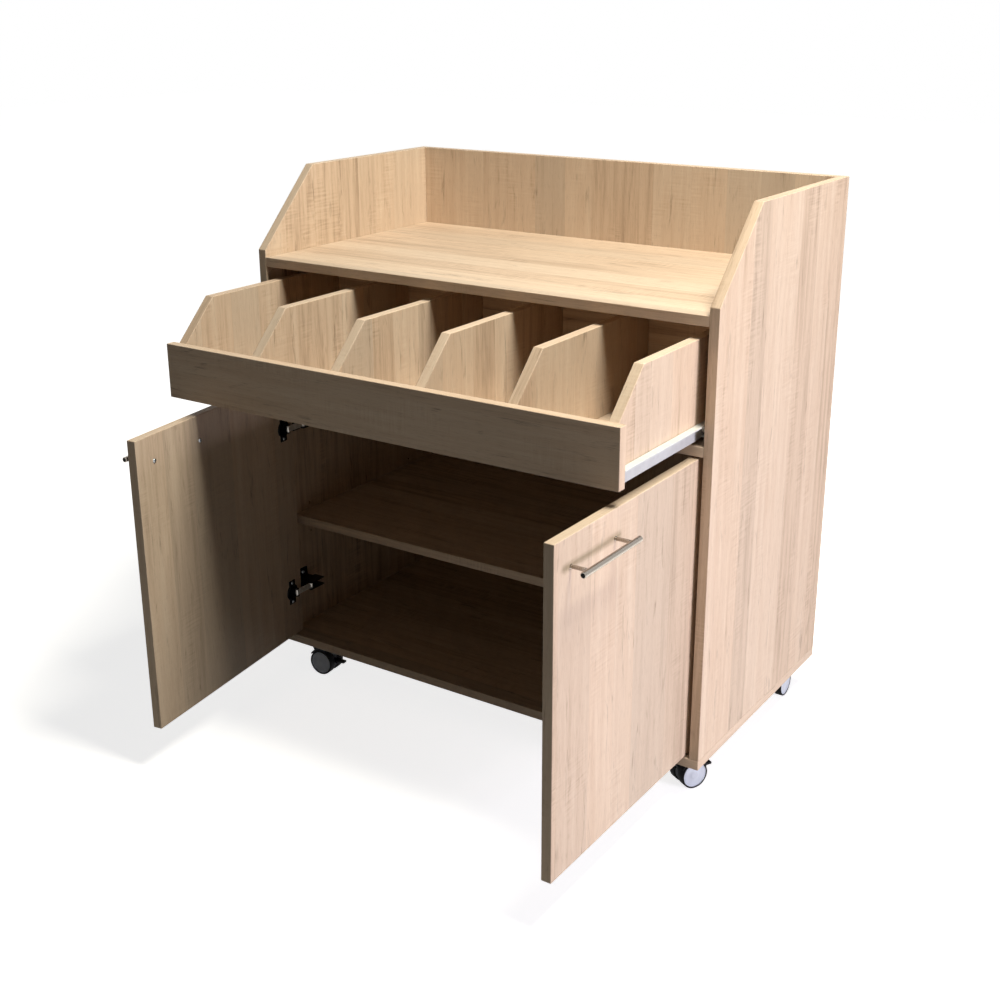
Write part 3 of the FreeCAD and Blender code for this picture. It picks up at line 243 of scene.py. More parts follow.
def oak_melamine(name, sizes, colours):
    """Pale oak print under matt melamine, pressed onto chipboard, with bands to match.

    The print is glued-up staves of limed oak: long soft streaks, fine pores, loops of late
    wood in some staves, patches of saw marks across the grain and a few dark veins.
    """
    material, tree, shader = new_material(name, Specular_IOR_Level=0.16)
    place = add_node(tree, "ShaderNodeUVMap", uv_map="grain").outputs[0]
    own, seam = stave_pattern(tree, place, sizes.stave)
    shift = (maths(tree, "MULTIPLY", own[0], 17.0), maths(tree, "MULTIPLY", own[1], 23.0))
    threads = speckle(tree, stretched(tree, place, *THREADS, shift), 3.0, 0.6)
    pores = speckle(tree, stretched(tree, place, *PORES, shift), 2.0, 0.6)
    open_pores = ramp(tree, pores, 0.58, 0.74, 0.0, PORE_SHARE)
    patches = speckle(tree, stretched(tree, place, *VEIN_PATCHES, shift), 3.0, 0.6, 0.6)
    lines = speckle(tree, stretched(tree, place, *VEIN_LINES, shift), 3.0, 0.65)
    veined = maths(tree, "MULTIPLY", maths(tree, "MULTIPLY", ramp(tree, patches, 0.6, 0.74),
                                           ramp(tree, lines, 0.42, 0.62)), VEIN_SHARE)
    tone = oak_tone(tree, place, shift, own, threads, sizes.saw_mark)
    wood = oak_colour(tree, tone, own[1], colours)
    for share in (open_pores, veined, ramp(tree, seam, 0.0, 0.014, SEAM_SHARE, 0.0)):
        wood = blend_colour(tree, share, wood, rgba(colours.oak_vein))
    tree.links.new(wood, shader.inputs["Base Color"])

    relief = maths(tree, "SUBTRACT", maths(tree, "MULTIPLY", threads, 0.4), open_pores)
    bump = add_node(tree, "ShaderNodeBump", {"Strength": 0.25, "Distance": PORE_DEPTH,
                                             "Height": relief})
    tree.links.new(bump.outputs[0], shader.inputs["Normal"])
    tree.links.new(ramp(tree, pores, 0.3, 0.8, 0.44, 0.58), shader.inputs["Roughness"])
    return material


def chipboard(name, sizes, colours):
    """Raw chipboard inside the holes: pressed chips of a few millimetres, tan and brown."""
    material, tree, shader = new_material(name, Roughness=0.9, Specular_IOR_Level=0.2)
    place = add_node(tree, "ShaderNodeTexCoord").outputs["Object"]
    chips = add_node(tree, "ShaderNodeTexVoronoi", {"Vector": place, "Scale": 1 / (1.6 * MM)})
    chip = add_node(tree, "ShaderNodeSeparateColor", {0: chips.outputs["Color"]}).outputs[0]
    wood = blend_colour(tree, chip, rgba(linear("#8A6B47")), rgba(linear("#C9A97C")))
    tree.links.new(wood, shader.inputs["Base Color"])
    return material


def beech(name, sizes, colours):
    """Turned beech dowels: pinkish tan with short dark flecks along the peg."""
    material, tree, shader = new_material(name, Roughness=0.6, Specular_IOR_Level=0.3)
    place = add_node(tree, "ShaderNodeTexCoord").outputs["Object"]
    flecks = add_node(tree, "ShaderNodeTexNoise", {"Vector": place, "Scale": 1 / (1.5 * MM),
                                                   "Detail": 3.0}).outputs["Fac"]
    wood = blend_colour(tree, ramp(tree, flecks, 0.45, 0.7), rgba(linear("#D6B189")),
                        rgba(linear("#A97F57")))
    tree.links.new(wood, shader.inputs["Base Color"])
    return material


def stainless(name, sizes, colours):
    """Stainless bar brushed round its length: a grey metal that the lamps draw bright lines on."""
    material, tree, shader = new_material(name, Metallic=1.0)
    place = add_node(tree, "ShaderNodeUVMap", uv_map="turned").outputs[0]
    lines = speckle(tree, stretched(tree, place, 24 * MM, 0.4 * MM), 3.0, 0.7)
    cloud = speckle(tree, stretched(tree, place, 9 * MM, 14 * MM), 2.0)
    steel = blend_colour(tree, ramp(tree, lines, 0.3, 0.75), rgba(linear("#8F877E")),
                         rgba(linear("#BCB4AA")))
    tree.links.new(steel, shader.inputs["Base Color"])
    tree.links.new(ramp(tree, cloud, 0.3, 0.7, 0.16, 0.23), shader.inputs["Roughness"])
    bump = add_node(tree, "ShaderNodeBump", {"Strength": 0.06, "Distance": 0.03 * MM,
                                             "Height": lines})
    tree.links.new(bump.outputs[0], shader.inputs["Normal"])
    return material


def plated_metal(name, base, dark, roughness, cloud_size, metallic=1.0):
    """Plated steel: a thin bright coat with a faint cloudy bloom."""
    material, tree, shader = new_material(name, Metallic=metallic)
    place = add_node(tree, "ShaderNodeTexCoord").outputs["Object"]
    cloud = add_node(tree, "ShaderNodeTexNoise", {"Vector": place, "Scale": 1 / cloud_size,
                                                  "Detail": 4.0}).outputs["Fac"]
    tree.links.new(blend_colour(tree, ramp(tree, cloud, 0.35, 0.7), rgba(linear(dark)),
                                rgba(linear(base))), shader.inputs["Base Color"])
    low, high = roughness
    tree.links.new(ramp(tree, cloud, 0.3, 0.7, low, high), shader.inputs["Roughness"])
    return material


def nickel(name, sizes, colours):
    """Nickel-plated link steel: bright, faintly yellow."""
    return plated_metal(name, "#E6E2DA", "#CCC7BE", (0.36, 0.48), 6 * MM, 0.5)


def zinc(name, sizes, colours):
    """Bright zinc plate on screws and plates: bluish grey, softly mottled."""
    return plated_metal(name, "#BFC3C6", "#8F9497", (0.3, 0.45), 4 * MM)


def black_plate(name, sizes, colours):
    """Black nickel on pressed hinge steel: near black with a low metal shine."""
    return plated_metal(name, "#242426", "#121213", (0.34, 0.5), 5 * MM)


def moulded(name, base, roughness, grain=0.8, relief=0.06, shade=0.82, shine=0.5):
    """Moulded plastic with a fine spark-eroded texture and a slight change of tone."""
    material, tree, shader = new_material(name, Specular_IOR_Level=shine)
    place = add_node(tree, "ShaderNodeTexCoord").outputs["Object"]
    texture = add_node(tree, "ShaderNodeTexNoise", {"Vector": place, "Scale": 1 / (grain * MM),
                                                    "Detail": 2.0}).outputs["Fac"]
    cloud = add_node(tree, "ShaderNodeTexNoise", {"Vector": place, "Scale": 1 / (14 * MM),
                                                  "Detail": 3.0}).outputs["Fac"]
    dull = [value * shade for value in base]
    tree.links.new(blend_colour(tree, ramp(tree, cloud, 0.35, 0.65), rgba(dull), rgba(base)),
                   shader.inputs["Base Color"])
    low, high = roughness
    tree.links.new(ramp(tree, texture, 0.3, 0.7, low, high), shader.inputs["Roughness"])
    bump = add_node(tree, "ShaderNodeBump", {"Strength": 0.3, "Distance": relief * MM,
                                             "Height": texture})
    tree.links.new(bump.outputs[0], shader.inputs["Normal"])
    return material


def enamel(name, sizes, colours):
    """White epoxy powder on rolled runner steel: a soft shine with faint orange peel."""
    return moulded(name, colours.enamel, (0.28, 0.38), 1.6, 0.03, 0.93)


def natural_nylon(name, sizes, colours):
    """Uncoloured nylon rollers: milky white."""
    return moulded(name, linear("#E4E0D6"), (0.35, 0.45), 0.8, 0.02, 0.92)


def hood_nylon(name, sizes, colours):
    """Glass-filled black nylon of the castor hoods and pedals."""
    return moulded(name, colours.nylon_black, (0.38, 0.55), 0.7, 0.08, 0.7, 0.1)


def hub_plastic(name, sizes, colours):
    """Moulded grey wheel centres with a soft shine."""
    return moulded(name, colours.hub, (0.3, 0.42), 0.6, 0.03, 0.94, 0.25)


def tyre_rubber(name, sizes, colours):
    """Soft black tread, a little dusty."""
    return moulded(name, colours.tread, (0.55, 0.75), 0.5, 0.06, 0.6, 0.08)


FINISHES = {
    "pale oak melamine": oak_melamine,
    "raw chipboard": chipboard,
    "turned beech": beech,
    "brushed stainless steel": stainless,
    "nickel-plated steel": nickel,
    "zinc-plated steel": zinc,
    "black-plated steel": black_plate,
    "white epoxy coat": enamel,
    "natural nylon": natural_nylon,
    "black moulded nylon": hood_nylon,
    "grey moulded plastic": hub_plastic,
    "black tread": tyre_rubber,
}


def finish(name):
    """A named finish, made the first time that it is asked for."""
    scene = bpy.context.scene
    known = bpy.data.materials.get(name)
    return known or FINISHES[name](name, scene.station_sizes, scene.station_colours)


# ---------------------------------------------------------------- shapes
def turned(body):
    """How far a body's shut shape is turned at rest: the doors stand open."""
    joint = JOINTS.get(body + "_hinge")
    if joint is None:
        return Matrix.Identity(3)
    angle = -joint["range_deg"][0] * joint["axis"][2]
    return Matrix.Rotation(math.radians(angle), 3, "Z")


def add_piece(name, mesh, node, slot, finishes, *replaced):
    """A finished piece that rides on a node's body and stands for it and any others."""
    for finish_name in finishes:
        mesh.materials.append(finish(finish_name))
    piece = bpy.data.objects.new(name, mesh)
    bpy.context.scene.collection.objects.link(piece)
    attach(piece, NODE_BODY[node])
    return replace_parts(piece, node, *replaced)


def to_mesh(shape, name):
    mesh = bpy.data.meshes.new(name)
    shape.to_mesh(mesh)
    shape.free()
    return mesh


def solid(node):
    """A node's solids with whole flat faces in place of their triangles."""
    shape = bmesh.new()
    shape.from_mesh(frame["nodes"][node].data)
    for layer in list(shape.loops.layers.uv):
        shape.loops.layers.uv.remove(layer)
    bmesh.ops.remove_doubles(shape, verts=shape.verts, dist=MERGE)
    bmesh.ops.dissolve_limit(shape, angle_limit=FLAT, verts=shape.verts, edges=shape.edges)
    for face in shape.faces:
        face.material_index = 0
        face.smooth = False
    shape.normal_update()
    return shape


def ease(shape, edges, radius, segments=2):
    """Round some edges over, and shade the new faces smooth."""
    made = bmesh.ops.bevel(shape, geom=edges, offset=radius, offset_type="OFFSET", affect="EDGES",
                           segments=segments, profile=0.5, clamp_overlap=False, material=-1)
    for face in made["faces"]:
        face.smooth = True
    shape.normal_update()


def eased(node, radius):
    """A node's solids with every sharp edge rounded, and round walls shaded smooth."""
    shape = solid(node)
    for face in shape.faces:
        turns = [edge.calc_face_angle(0) for edge in face.edges]
        face.smooth = any(FLAT < turn < FACET for turn in turns)
    sharp = [edge for edge in shape.edges if edge.calc_face_angle(0) > FACET]
    ease(shape, sharp, radius)
    for edge in shape.edges:
        edge.smooth = edge.calc_face_angle(0) < FACET
    return shape


def islands(node):
    """The corner points of each separate solid of a node, in the order of its mesh."""
    shape = bmesh.new()
    shape.from_mesh(frame["nodes"][node].data)
    bmesh.ops.remove_doubles(shape, verts=shape.verts, dist=MERGE)
    left = set(shape.verts)
    found = []
    for first in shape.verts:
        if first not in left:
            continue
        left.remove(first)
        group, front = [], [first]
        while front:
            vertex = front.pop()
            group.append(vertex.co.copy())
            for edge in vertex.link_edges:
                other = edge.other_vert(vertex)
                if other in left:
                    left.remove(other)
                    front.append(other)
        found.append(group)
    shape.free()
    return found


def lathe(shape, profile, centre, axis, steps=64):
    """Turn a closed profile of (radius, distance along the axis) about the axis."""
    axis = axis.normalized()
    side = axis.orthogonal().normalized()
    up = axis.cross(side)
    layer = shape.loops.layers.uv.get("turned") or shape.loops.layers.uv.new("turned")
    rings = []
    for radius, distance in profile:
        middle = centre + axis * distance
        if radius < MERGE:
            rings.append([shape.verts.new(middle)])
            continue
        rings.append([
            shape.verts.new(middle + (side * math.cos(turn) + up * math.sin(turn)) * radius)
            for turn in (2 * math.pi * step / steps for step in range(steps))
        ])
    run = [0.0]
    for (r1, d1), (r2, d2) in zip(profile, profile[1:]):
        run.append(run[-1] + math.hypot(r2 - r1, d2 - d1))
    widest = max(radius for radius, _ in profile)
    for number, (near, far) in enumerate(zip(rings, rings[1:])):
        for step in range(steps):
            following = (step + 1) % steps
            corners = [(near[step % len(near)], step, number),
                       (near[following % len(near)], step + 1, number),
                       (far[following % len(far)], step + 1, number + 1),
                       (far[step % len(far)], step, number + 1)]
            kept = []
            for corner in corners:
                if all(corner[0] is not other[0] for other in kept):
                    kept.append(corner)
            if len(kept) < 3:
                continue
            face = shape.faces.new([corner[0] for corner in kept])
            face.smooth = True
            for loop, (_, across, along) in zip(face.loops, kept):
                loop[layer].uv = (2 * math.pi * widest * across / steps, run[along])


def finished_lathe(shape, name):
    """Point a turned shape's faces outwards and mark its sharp edges."""
    bmesh.ops.recalc_face_normals(shape, faces=shape.faces)
    for edge in shape.edges:
        edge.smooth = edge.calc_face_angle(0) < FACET
    return to_mesh(shape, name)


# ---------------------------------------------------------------- boards
BOARDS = {  # on the shut station: the axis through the board, and the axis of its grain
    "left_side_panel": "XZ",
    "right_side_panel": "XZ",
    "back_panel": "YZ",
    "worktop": "ZX",
    "divider_panel": "ZX",
    "bottom_panel": "ZX",
    "adjustable_shelf": "ZX",
    "drawer_front": "YX",
    "drawer_left_side": "XZ",
    "drawer_right_side": "XZ",
    "drawer_divider_1": "XZ",
    "drawer_divider_2": "XZ",
    "drawer_divider_3": "XZ",
    "drawer_divider_4": "XZ",
    "drawer_back": "YX",
    "drawer_bottom": "ZX",
    "left_door": "YZ",
    "right_door": "YZ",
}
BAND_AREA = 400 * MM * MM
SHEET_STEP = (0.731, 0.417)


def board_shape(node, thin, grain, radius, shift):
    """A board with its band milled round and the print mapped along its grain, in metres."""
    shape = solid(node)
    across = thin.cross(grain)
    depths = [vertex.co.dot(thin) for vertex in shape.verts]
    faces = (min(depths), max(depths))
    for face in shape.faces:
        level = face.calc_center_median().dot(thin)
        flat = abs(face.normal.dot(thin)) > 0.9
        outer = flat and min(abs(level - depth) for depth in faces) < MERGE * 10
        band = not flat and face.calc_area() > BAND_AREA
        face.material_index = 0 if outer or band else 1
    rims = [
        edge for edge in shape.edges
        if edge.calc_face_angle(0) > FACET and not any(f.material_index for f in edge.link_faces)
    ]
    ease(shape, rims, radius)
    layer = shape.loops.layers.uv.new("grain")
    for face in shape.faces:
        along, side = grain, across
        if abs(face.normal.dot(thin)) < 0.9:
            along, side = thin.cross(face.normal).normalized(), thin
        for loop in face.loops:
            place = loop.vert.co
            loop[layer].uv = (place.dot(along) + shift[0], place.dot(side) + shift[1])
    return shape


class STATION_OT_boards(bpy.types.Operator):
    """Band every board and lay the oak print along its grain"""
    bl_idname = "station.boards"
    bl_label = "Boards"

    def execute(self, context):
        radius = context.scene.station_sizes.board_edge
        for number, (node, axes) in enumerate(BOARDS.items()):
            turn = turned(NODE_BODY[node])
            thin, grain = (turn @ AXES[letter] for letter in axes)
            shift = [number * step for step in SHEET_STEP]
            mesh = to_mesh(board_shape(node, thin, grain, radius, shift), node + "_board")
            add_piece(node + "_board", mesh, node, "oak_melamine",
                      ("pale oak melamine", "raw chipboard"))
        return {"FINISHED"}


# ---------------------------------------------------------------- handles
BAR_STEPS = 48
END_DISH = 1.2 * MM
SHADE_PLUG_SHARE = 0.76  # radius of the black plug in a bar's end, of the bar's radius: a plausible part, put there as painted shade for the dark end
POST_NECK = 0.8  # radius of a post between bar and foot, of its foot's radius
POST_FOOT = 1.0 * MM
POST_FLARE = 0.2 * MM


def bar_profile(radius, span, chamfer):
    """A round bar with chamfered ends, each with a sunk plug whose black face is painted shade in the bar's end.
    """
    half = span / 2
    end = [(0.0, half - END_DISH), (radius * SHADE_PLUG_SHARE, half - END_DISH),
           (radius * SHADE_PLUG_SHARE, half), (radius - chamfer, half), (radius, half - chamfer)]
    return [(r, -d) for r, d in end] + end[::-1]


def rod_ends(points, axis):
    """Middle, length and radius of a round piece whose axis is known."""
    along = [point.dot(axis) for point in points]
    low, high = min(along), max(along)
    ends = [p for p, a in zip(points, along) if a - low < 0.1 * MM or high - a < 0.1 * MM]
    middle = sum(ends, Vector()) / len(ends)
    middle += axis * ((low + high) / 2 - middle.dot(axis))
    radius = max((p - middle - axis * (p - middle).dot(axis)).length for p in points)
    return middle, high - low, radius


class STATION_OT_handles(bpy.types.Operator):
    """Turn the handle bars and their posts from stainless bar"""
    bl_idname = "station.handles"
    bl_label = "Handles"

    def execute(self, context):
        chamfer = context.scene.station_sizes.bar_chamfer
        for side in ("left", "right"):
            turn = turned(side + "_door")
            node = side + "_handle_bar"
            middle, span, radius = rod_ends(islands(node)[0], turn @ AXES["X"])
            shape = bmesh.new()
            lathe(shape, bar_profile(radius, span, chamfer), middle, turn @ AXES["X"], BAR_STEPS)
            for face in shape.faces:
                place = (face.calc_center_median() - middle).dot(turn @ AXES["X"])
                # the plug's face at the bottom of each end's dish takes black nylon: a plausible part, put there
                # as painted shade in the bar's end
                face.material_index = int(abs(span / 2 - abs(place) - END_DISH) < MERGE)
            add_piece(node + "_turned", finished_lathe(shape, node), node, "satin_steel",
                      ("brushed stainless steel", "black moulded nylon"))
            node = side + "_handle_posts"
            shape = bmesh.new()
            for points in islands(node):
                middle, span, radius = rod_ends(points, turn @ AXES["Y"])
                half = span / 2
                neck, flare = radius * POST_NECK, half - POST_FOOT
                profile = [(0.0, -half), (neck, -half), (neck, flare - POST_FLARE),
                           (radius, flare), (radius, half), (0.0, half)]
                lathe(shape, profile, middle, turn @ AXES["Y"], BAR_STEPS)
            add_piece(node + "_turned", finished_lathe(shape, node), node, "satin_steel",
                      ("brushed stainless steel",))
        return {"FINISHED"}


# ---------------------------------------------------------------- runners, hinges, plain fittings
PRESSED = {  # node: material slot and finish
    "hinge_arms": ("black_steel", "black-plated steel"),
    "hinge_plates": ("black_steel", "black-plated steel"),
    "left_hinge_cups": ("black_steel", "black-plated steel"),
    "right_hinge_cups": ("black_steel", "black-plated steel"),
    "left_hinge_links": ("nickel", "nickel-plated steel"),
    "right_hinge_links": ("nickel", "nickel-plated steel"),
    "left_runner_cabinet_member": ("white_enamel", "white epoxy coat"),
    "left_runner_drawer_member": ("white_enamel", "white epoxy coat"),
    "right_runner_cabinet_member": ("white_enamel", "white epoxy coat"),
    "right_runner_drawer_member": ("white_enamel", "white epoxy coat"),
    "castor_plates": ("zinc", "zinc-plated steel"),
}
KEPT = {
    "cam_fittings": "zinc-plated steel",
    "shelf_pins": "zinc-plated steel",
    "panel_dowels": "turned beech",
    "drawer_dowels": "turned beech",
}


class STATION_OT_pressings(bpy.types.Operator):
    """Round the edges of the runners, hinges and castor plates"""
    bl_idname = "station.pressings"
    bl_label = "Runners and hinges"

    def execute(self, context):
        radius = context.scene.station_sizes.steel_edge
        for node, (slot, finish_name) in PRESSED.items():
            mesh = to_mesh(eased(node, radius), node + "_pressed")
            add_piece(node + "_pressed", mesh, node, slot, (finish_name,))
        return {"FINISHED"}


class STATION_OT_fittings(bpy.types.Operator):
    """Finish the cams, shelf pins and dowels, whose solids have their real shape"""
    bl_idname = "station.fittings"
    bl_label = "Cams, pins and dowels"

    def execute(self, context):
        for node, finish_name in KEPT.items():
            mesh = frame["nodes"][node].data
            mesh.materials.clear()
            mesh.materials.append(finish(finish_name))
        return {"FINISHED"}


ROLLER_EDGE = 0.6 * MM
ROLLER_RINGS = (0.5, 0.58, 0.82, 0.88)  # hub, groove's floor from and to, rim: of the radius


class STATION_OT_rollers(bpy.types.Operator):
    """Turn the nylon rollers of the drawer runners"""
    bl_idname = "station.rollers"
    bl_label = "Rollers"

    def execute(self, context):
        for node in ("front_rollers", "rear_rollers"):
            shape = bmesh.new()
            for points in islands(node):
                middle, width, radius = rod_ends(points, AXES["X"])
                bore = min((p - middle - AXES["X"] * (p - middle).x).length for p in points)
                half, edge = width / 2, ROLLER_EDGE
                hub, floor_in, floor_out, rim = (radius * share for share in ROLLER_RINGS)
                profile = [(bore, -half), (hub, -half), (floor_in, edge - half),
                           (floor_out, edge - half), (rim, -half),
                           (radius - edge, -half), (radius, edge - half)]
                profile += [(r, -d) for r, d in profile[::-1]]
                lathe(shape, profile + profile[:1], middle, AXES["X"], BAR_STEPS)
            bmesh.ops.remove_doubles(shape, verts=shape.verts, dist=MERGE)
            add_piece(node + "_moulded", finished_lathe(shape, node), node, "nylon",
                      ("natural nylon",))
        return {"FINISHED"}


# ---------------------------------------------------------------- screws
SCREWS = {  # node: the axis that its screws lie along, on the shut station
    "base_screws": "Z",
    "castor_screws": "Z",
    "runner_screws": "X",
    "drawer_runner_screws": "Z",
    "hinge_plate_screws": "X",
    "left_door_screws": "Y",
    "right_door_screws": "Y",
}
HEAD_RINGS = 7
SCREW_SEED = 11


DOME = (0.42, 2.6)  # how far the head's girth falls to its top, and how late
BLADE = (1.05, 0.26, 1.1)  # long side, short side, depth: of the head's radius and height
SCREW_SOCKETS = {
    "Head radius": "Float",
    "Head height": "Float",
    "Shank radius": "Float",
    "Shank length": "Float",
    "Seed": "Int",
    "Material": "Material",
}


def upwards(tree, height):
    return add_node(tree, "ShaderNodeCombineXYZ", {"Z": height}).outputs[0]


def screw_head(tree, given):
    """A domed round head that stands on the seat."""
    line = add_node(tree, "GeometryNodeCurvePrimitiveLine",
                    {"End": upwards(tree, given["Head height"])}).outputs[0]
    line = add_node(tree, "GeometryNodeResampleCurve", {"Curve": line, "Count": HEAD_RINGS})
    height = add_node(tree, "GeometryNodeSplineParameter").outputs["Factor"]
    fall, power = DOME
    dome = maths(tree, "SUBTRACT", 1.0,
                 maths(tree, "MULTIPLY", fall, maths(tree, "POWER", height, power)))
    circle = add_node(tree, "GeometryNodeCurvePrimitiveCircle", {"Resolution": 28, "Radius": 1.0})
    return add_node(tree, "GeometryNodeCurveToMesh",
                    {"Curve": line.outputs[0], "Profile Curve": circle.outputs[0],
                     "Scale": maths(tree, "MULTIPLY", given["Head radius"], dome),
                     "Fill Caps": True}).outputs[0]


def crossed(tree, head, given):
    """The head with a cross recess cut into its top."""
    long_side, short_side = (maths(tree, "MULTIPLY", given["Head radius"], share)
                             for share in BLADE[:2])
    depth = maths(tree, "MULTIPLY", given["Head height"], BLADE[2])
    lift = upwards(tree, given["Head height"])
    recessed = add_node(tree, "GeometryNodeMeshBoolean", {"Mesh 1": head},
                        operation="DIFFERENCE")
    for across, along in ((long_side, short_side), (short_side, long_side)):
        size = add_node(tree, "ShaderNodeCombineXYZ", {"X": across, "Y": along, "Z": depth})
        blade = add_node(tree, "GeometryNodeMeshCube", {"Size": size.outputs[0]})
        blade = add_node(tree, "GeometryNodeTransform",
                         {"Geometry": blade.outputs[0], "Translation": lift})
        tree.links.new(blade.outputs[0], recessed.inputs["Mesh 2"])
    return recessed.outputs[0]


def screw_shank(tree, given):
    """A plain shank that hangs below the seat."""
    shank = add_node(tree, "GeometryNodeMeshCylinder",
                     {"Vertices": 16, "Radius": given["Shank radius"],
                      "Depth": given["Shank length"]})
    sunk = upwards(tree, maths(tree, "MULTIPLY", given["Shank length"], -0.5))
    return add_node(tree, "GeometryNodeTransform",
                    {"Geometry": shank.outputs[0], "Translation": sunk}).outputs[0]


def screw_turns(tree, given):
    """Each screw stands along its own facing, turned about it by a random angle."""
    facing = add_node(tree, "GeometryNodeInputNamedAttribute", {"Name": "facing"},
                      data_type="FLOAT_VECTOR").outputs[0]
    stand = add_node(tree, "FunctionNodeAlignRotationToVector", {"Vector": facing}, axis="Z")
    turn = add_node(tree, "FunctionNodeRandomValue", {"Max": math.pi, "Seed": given["Seed"]},
                    data_type="FLOAT").outputs["Value"]
    return add_node(tree, "FunctionNodeRotateRotation",
                    {"Rotation": stand.outputs[0], "Rotate By": upwards(tree, turn)},
                    rotation_space="LOCAL").outputs[0]


def screw_tree():
    """Pan-head screws with a cross recess, one on each point, for any head and shank."""
    tree = bpy.data.node_groups.new("pan_head_screws", "GeometryNodeTree")
    socket = tree.interface.new_socket
    socket("Geometry", in_out="INPUT", socket_type="NodeSocketGeometry")
    for label, kind in SCREW_SOCKETS.items():
        socket(label, in_out="INPUT", socket_type="NodeSocket" + kind)
    socket("Geometry", in_out="OUTPUT", socket_type="NodeSocketGeometry")
    given = add_node(tree, "NodeGroupInput").outputs
    whole = add_node(tree, "GeometryNodeJoinGeometry")
    for part in (screw_shank(tree, given), crossed(tree, screw_head(tree, given), given)):
        tree.links.new(part, whole.inputs[0])
    placed = add_node(tree, "GeometryNodeInstanceOnPoints",
                      {"Points": given["Geometry"], "Instance": whole.outputs[0],
                       "Rotation": screw_turns(tree, given)})
    real = add_node(tree, "GeometryNodeRealizeInstances", {0: placed.outputs[0]})
    coated = add_node(tree, "GeometryNodeSetMaterial",
                      {"Geometry": real.outputs[0], "Material": given["Material"]})
    add_node(tree, "NodeGroupOutput", {0: coated.outputs[0]})
    return tree


def measured_screw(points, axis):
    """Seat, outward direction and the four sizes of one screw, read from its solid."""
    middle, span, widest = rod_ends(points, axis)
    reach = [((p - middle).dot(axis), (p - middle - axis * (p - middle).dot(axis)).length)
             for p in points]
    head = [along for along, radius in reach if radius > 0.95 * widest]
    outward = axis if sum(head) > 0 else -axis
    low, high = min(abs(along) for along in head), span / 2
    shank = max(radius for along, radius in reach if abs(abs(along) - high) < 0.1 * MM
                and along * sum(head) < 0)
    return middle + outward * low, outward, (widest, high - low, shank, high + low)


def geometry_nodes_mesh(name, tree, mesh, values):
    """The plain mesh that a tree of geometry nodes makes from a mesh of points."""
    carrier = bpy.data.objects.new(name + "_carrier", mesh)
    bpy.context.scene.collection.objects.link(carrier)
    modifier = carrier.modifiers.new("nodes", "NODES")
    modifier.node_group = tree
    for item in tree.interface.items_tree:
        if item.in_out == "INPUT" and item.name in values:
            modifier[item.identifier] = values[item.name]
    depsgraph = bpy.context.evaluated_depsgraph_get()
    made = bpy.data.meshes.new_from_object(carrier.evaluated_get(depsgraph))
    bpy.data.objects.remove(carrier)
    made.name = name
    return made


class STATION_OT_screws(bpy.types.Operator):
    """Set a cross-recess screw in place of every plain one"""
    bl_idname = "station.screws"
    bl_label = "Screws"

    def execute(self, context):
        tree = screw_tree()
        for node, letter in SCREWS.items():
            axis = turned(NODE_BODY[node]) @ AXES[letter]
            kinds = {}
            for points in islands(node):
                seat, outward, sizes = measured_screw(points, axis)
                kind = tuple(round(size, 5) for size in sizes)
                kinds.setdefault(kind, []).append((seat, outward))
            shape = bmesh.new()
            for kind, places in kinds.items():
                points = bpy.data.meshes.new(node + "_seats")
                points.from_pydata([seat for seat, _ in places], [], [])
                facing = points.attributes.new("facing", "FLOAT_VECTOR", "POINT")
                facing.data.foreach_set("vector", [n for _, out in places for n in out])
                values = dict(zip(SCREW_SOCKETS, kind))
                values.update({"Seed": SCREW_SEED, "Material": finish("zinc-plated steel")})
                shape.from_mesh(geometry_nodes_mesh(node, tree, points, values))
            for face in shape.faces:
                face.smooth = False
            mesh = to_mesh(shape, node + "_driven")
            add_piece(node + "_driven", mesh, node, "zinc", ("zinc-plated steel",))
        return {"FINISHED"}


# ---------------------------------------------------------------- castors
CORNERS = ("front_left", "front_right", "rear_left", "rear_right")
WHEEL_STEPS = 72
SOFT = 0.03 * MM  # the finished wheels stay this much inside their solids


def half_hub(outer, inner, radius, groove):
    """Profile of one wheel centre, from the axle's middle to the hub cap."""
    return [
        (3 * MM, 0.0),
        (3 * MM, inner),
        (radius - 0.6 * MM, inner),
        (radius - 0.1 * MM, inner + 0.5 * MM),
        (radius - 0.1 * MM, outer - 0.9 * MM),
        (radius - 0.5 * MM, outer - 0.4 * MM),
        (radius - 1.6 * MM, outer - 0.3 * MM),
        (radius - 2.0 * MM, outer - groove - 0.3 * MM),
        (radius - 2.8 * MM, outer - groove - 0.3 * MM),
        (radius - 3.3 * MM, outer - 0.5 * MM),
        (radius * 0.62, outer - 0.9 * MM),
        (radius * 0.34, outer - 0.8 * MM),
        (radius * 0.30, outer - 0.2 * MM),
        (radius * 0.25, outer),
        (0.0, outer),
    ]


def tyre_profile(outer, inner, radius, bore):
    """A closed ring with rounded shoulders and a slightly crowned tread."""
    soft = 0.9 * MM
    return [
        (bore, inner),
        (radius - soft, inner),
        (radius - 0.3 * MM, inner + 0.3 * MM),
        (radius - 0.05 * MM, inner + soft),
        (radius, (inner + outer) / 2),
        (radius - 0.05 * MM, outer - soft),
        (radius - 0.3 * MM, outer - 0.3 * MM),
        (radius - soft, outer),
        (bore, outer),
        (bore, inner),
    ]


def wheel_sizes(corner):
    """Axle's middle and direction, and the sizes of the hubs and tyres, from their solids."""
    joint = JOINTS[corner + "_wheel_spin"]
    middle, axis = Vector(joint["pos_m"]), Vector(joint["axis"]).normalized()
    points = [point - middle for point in islands(corner + "_castor_tyres")[0]]
    along = [abs(point.dot(axis)) for point in points]
    radii = [(point - axis * point.dot(axis)).length for point in points]
    return middle, axis, max(along) - SOFT, min(along), max(radii) - SOFT, min(radii)


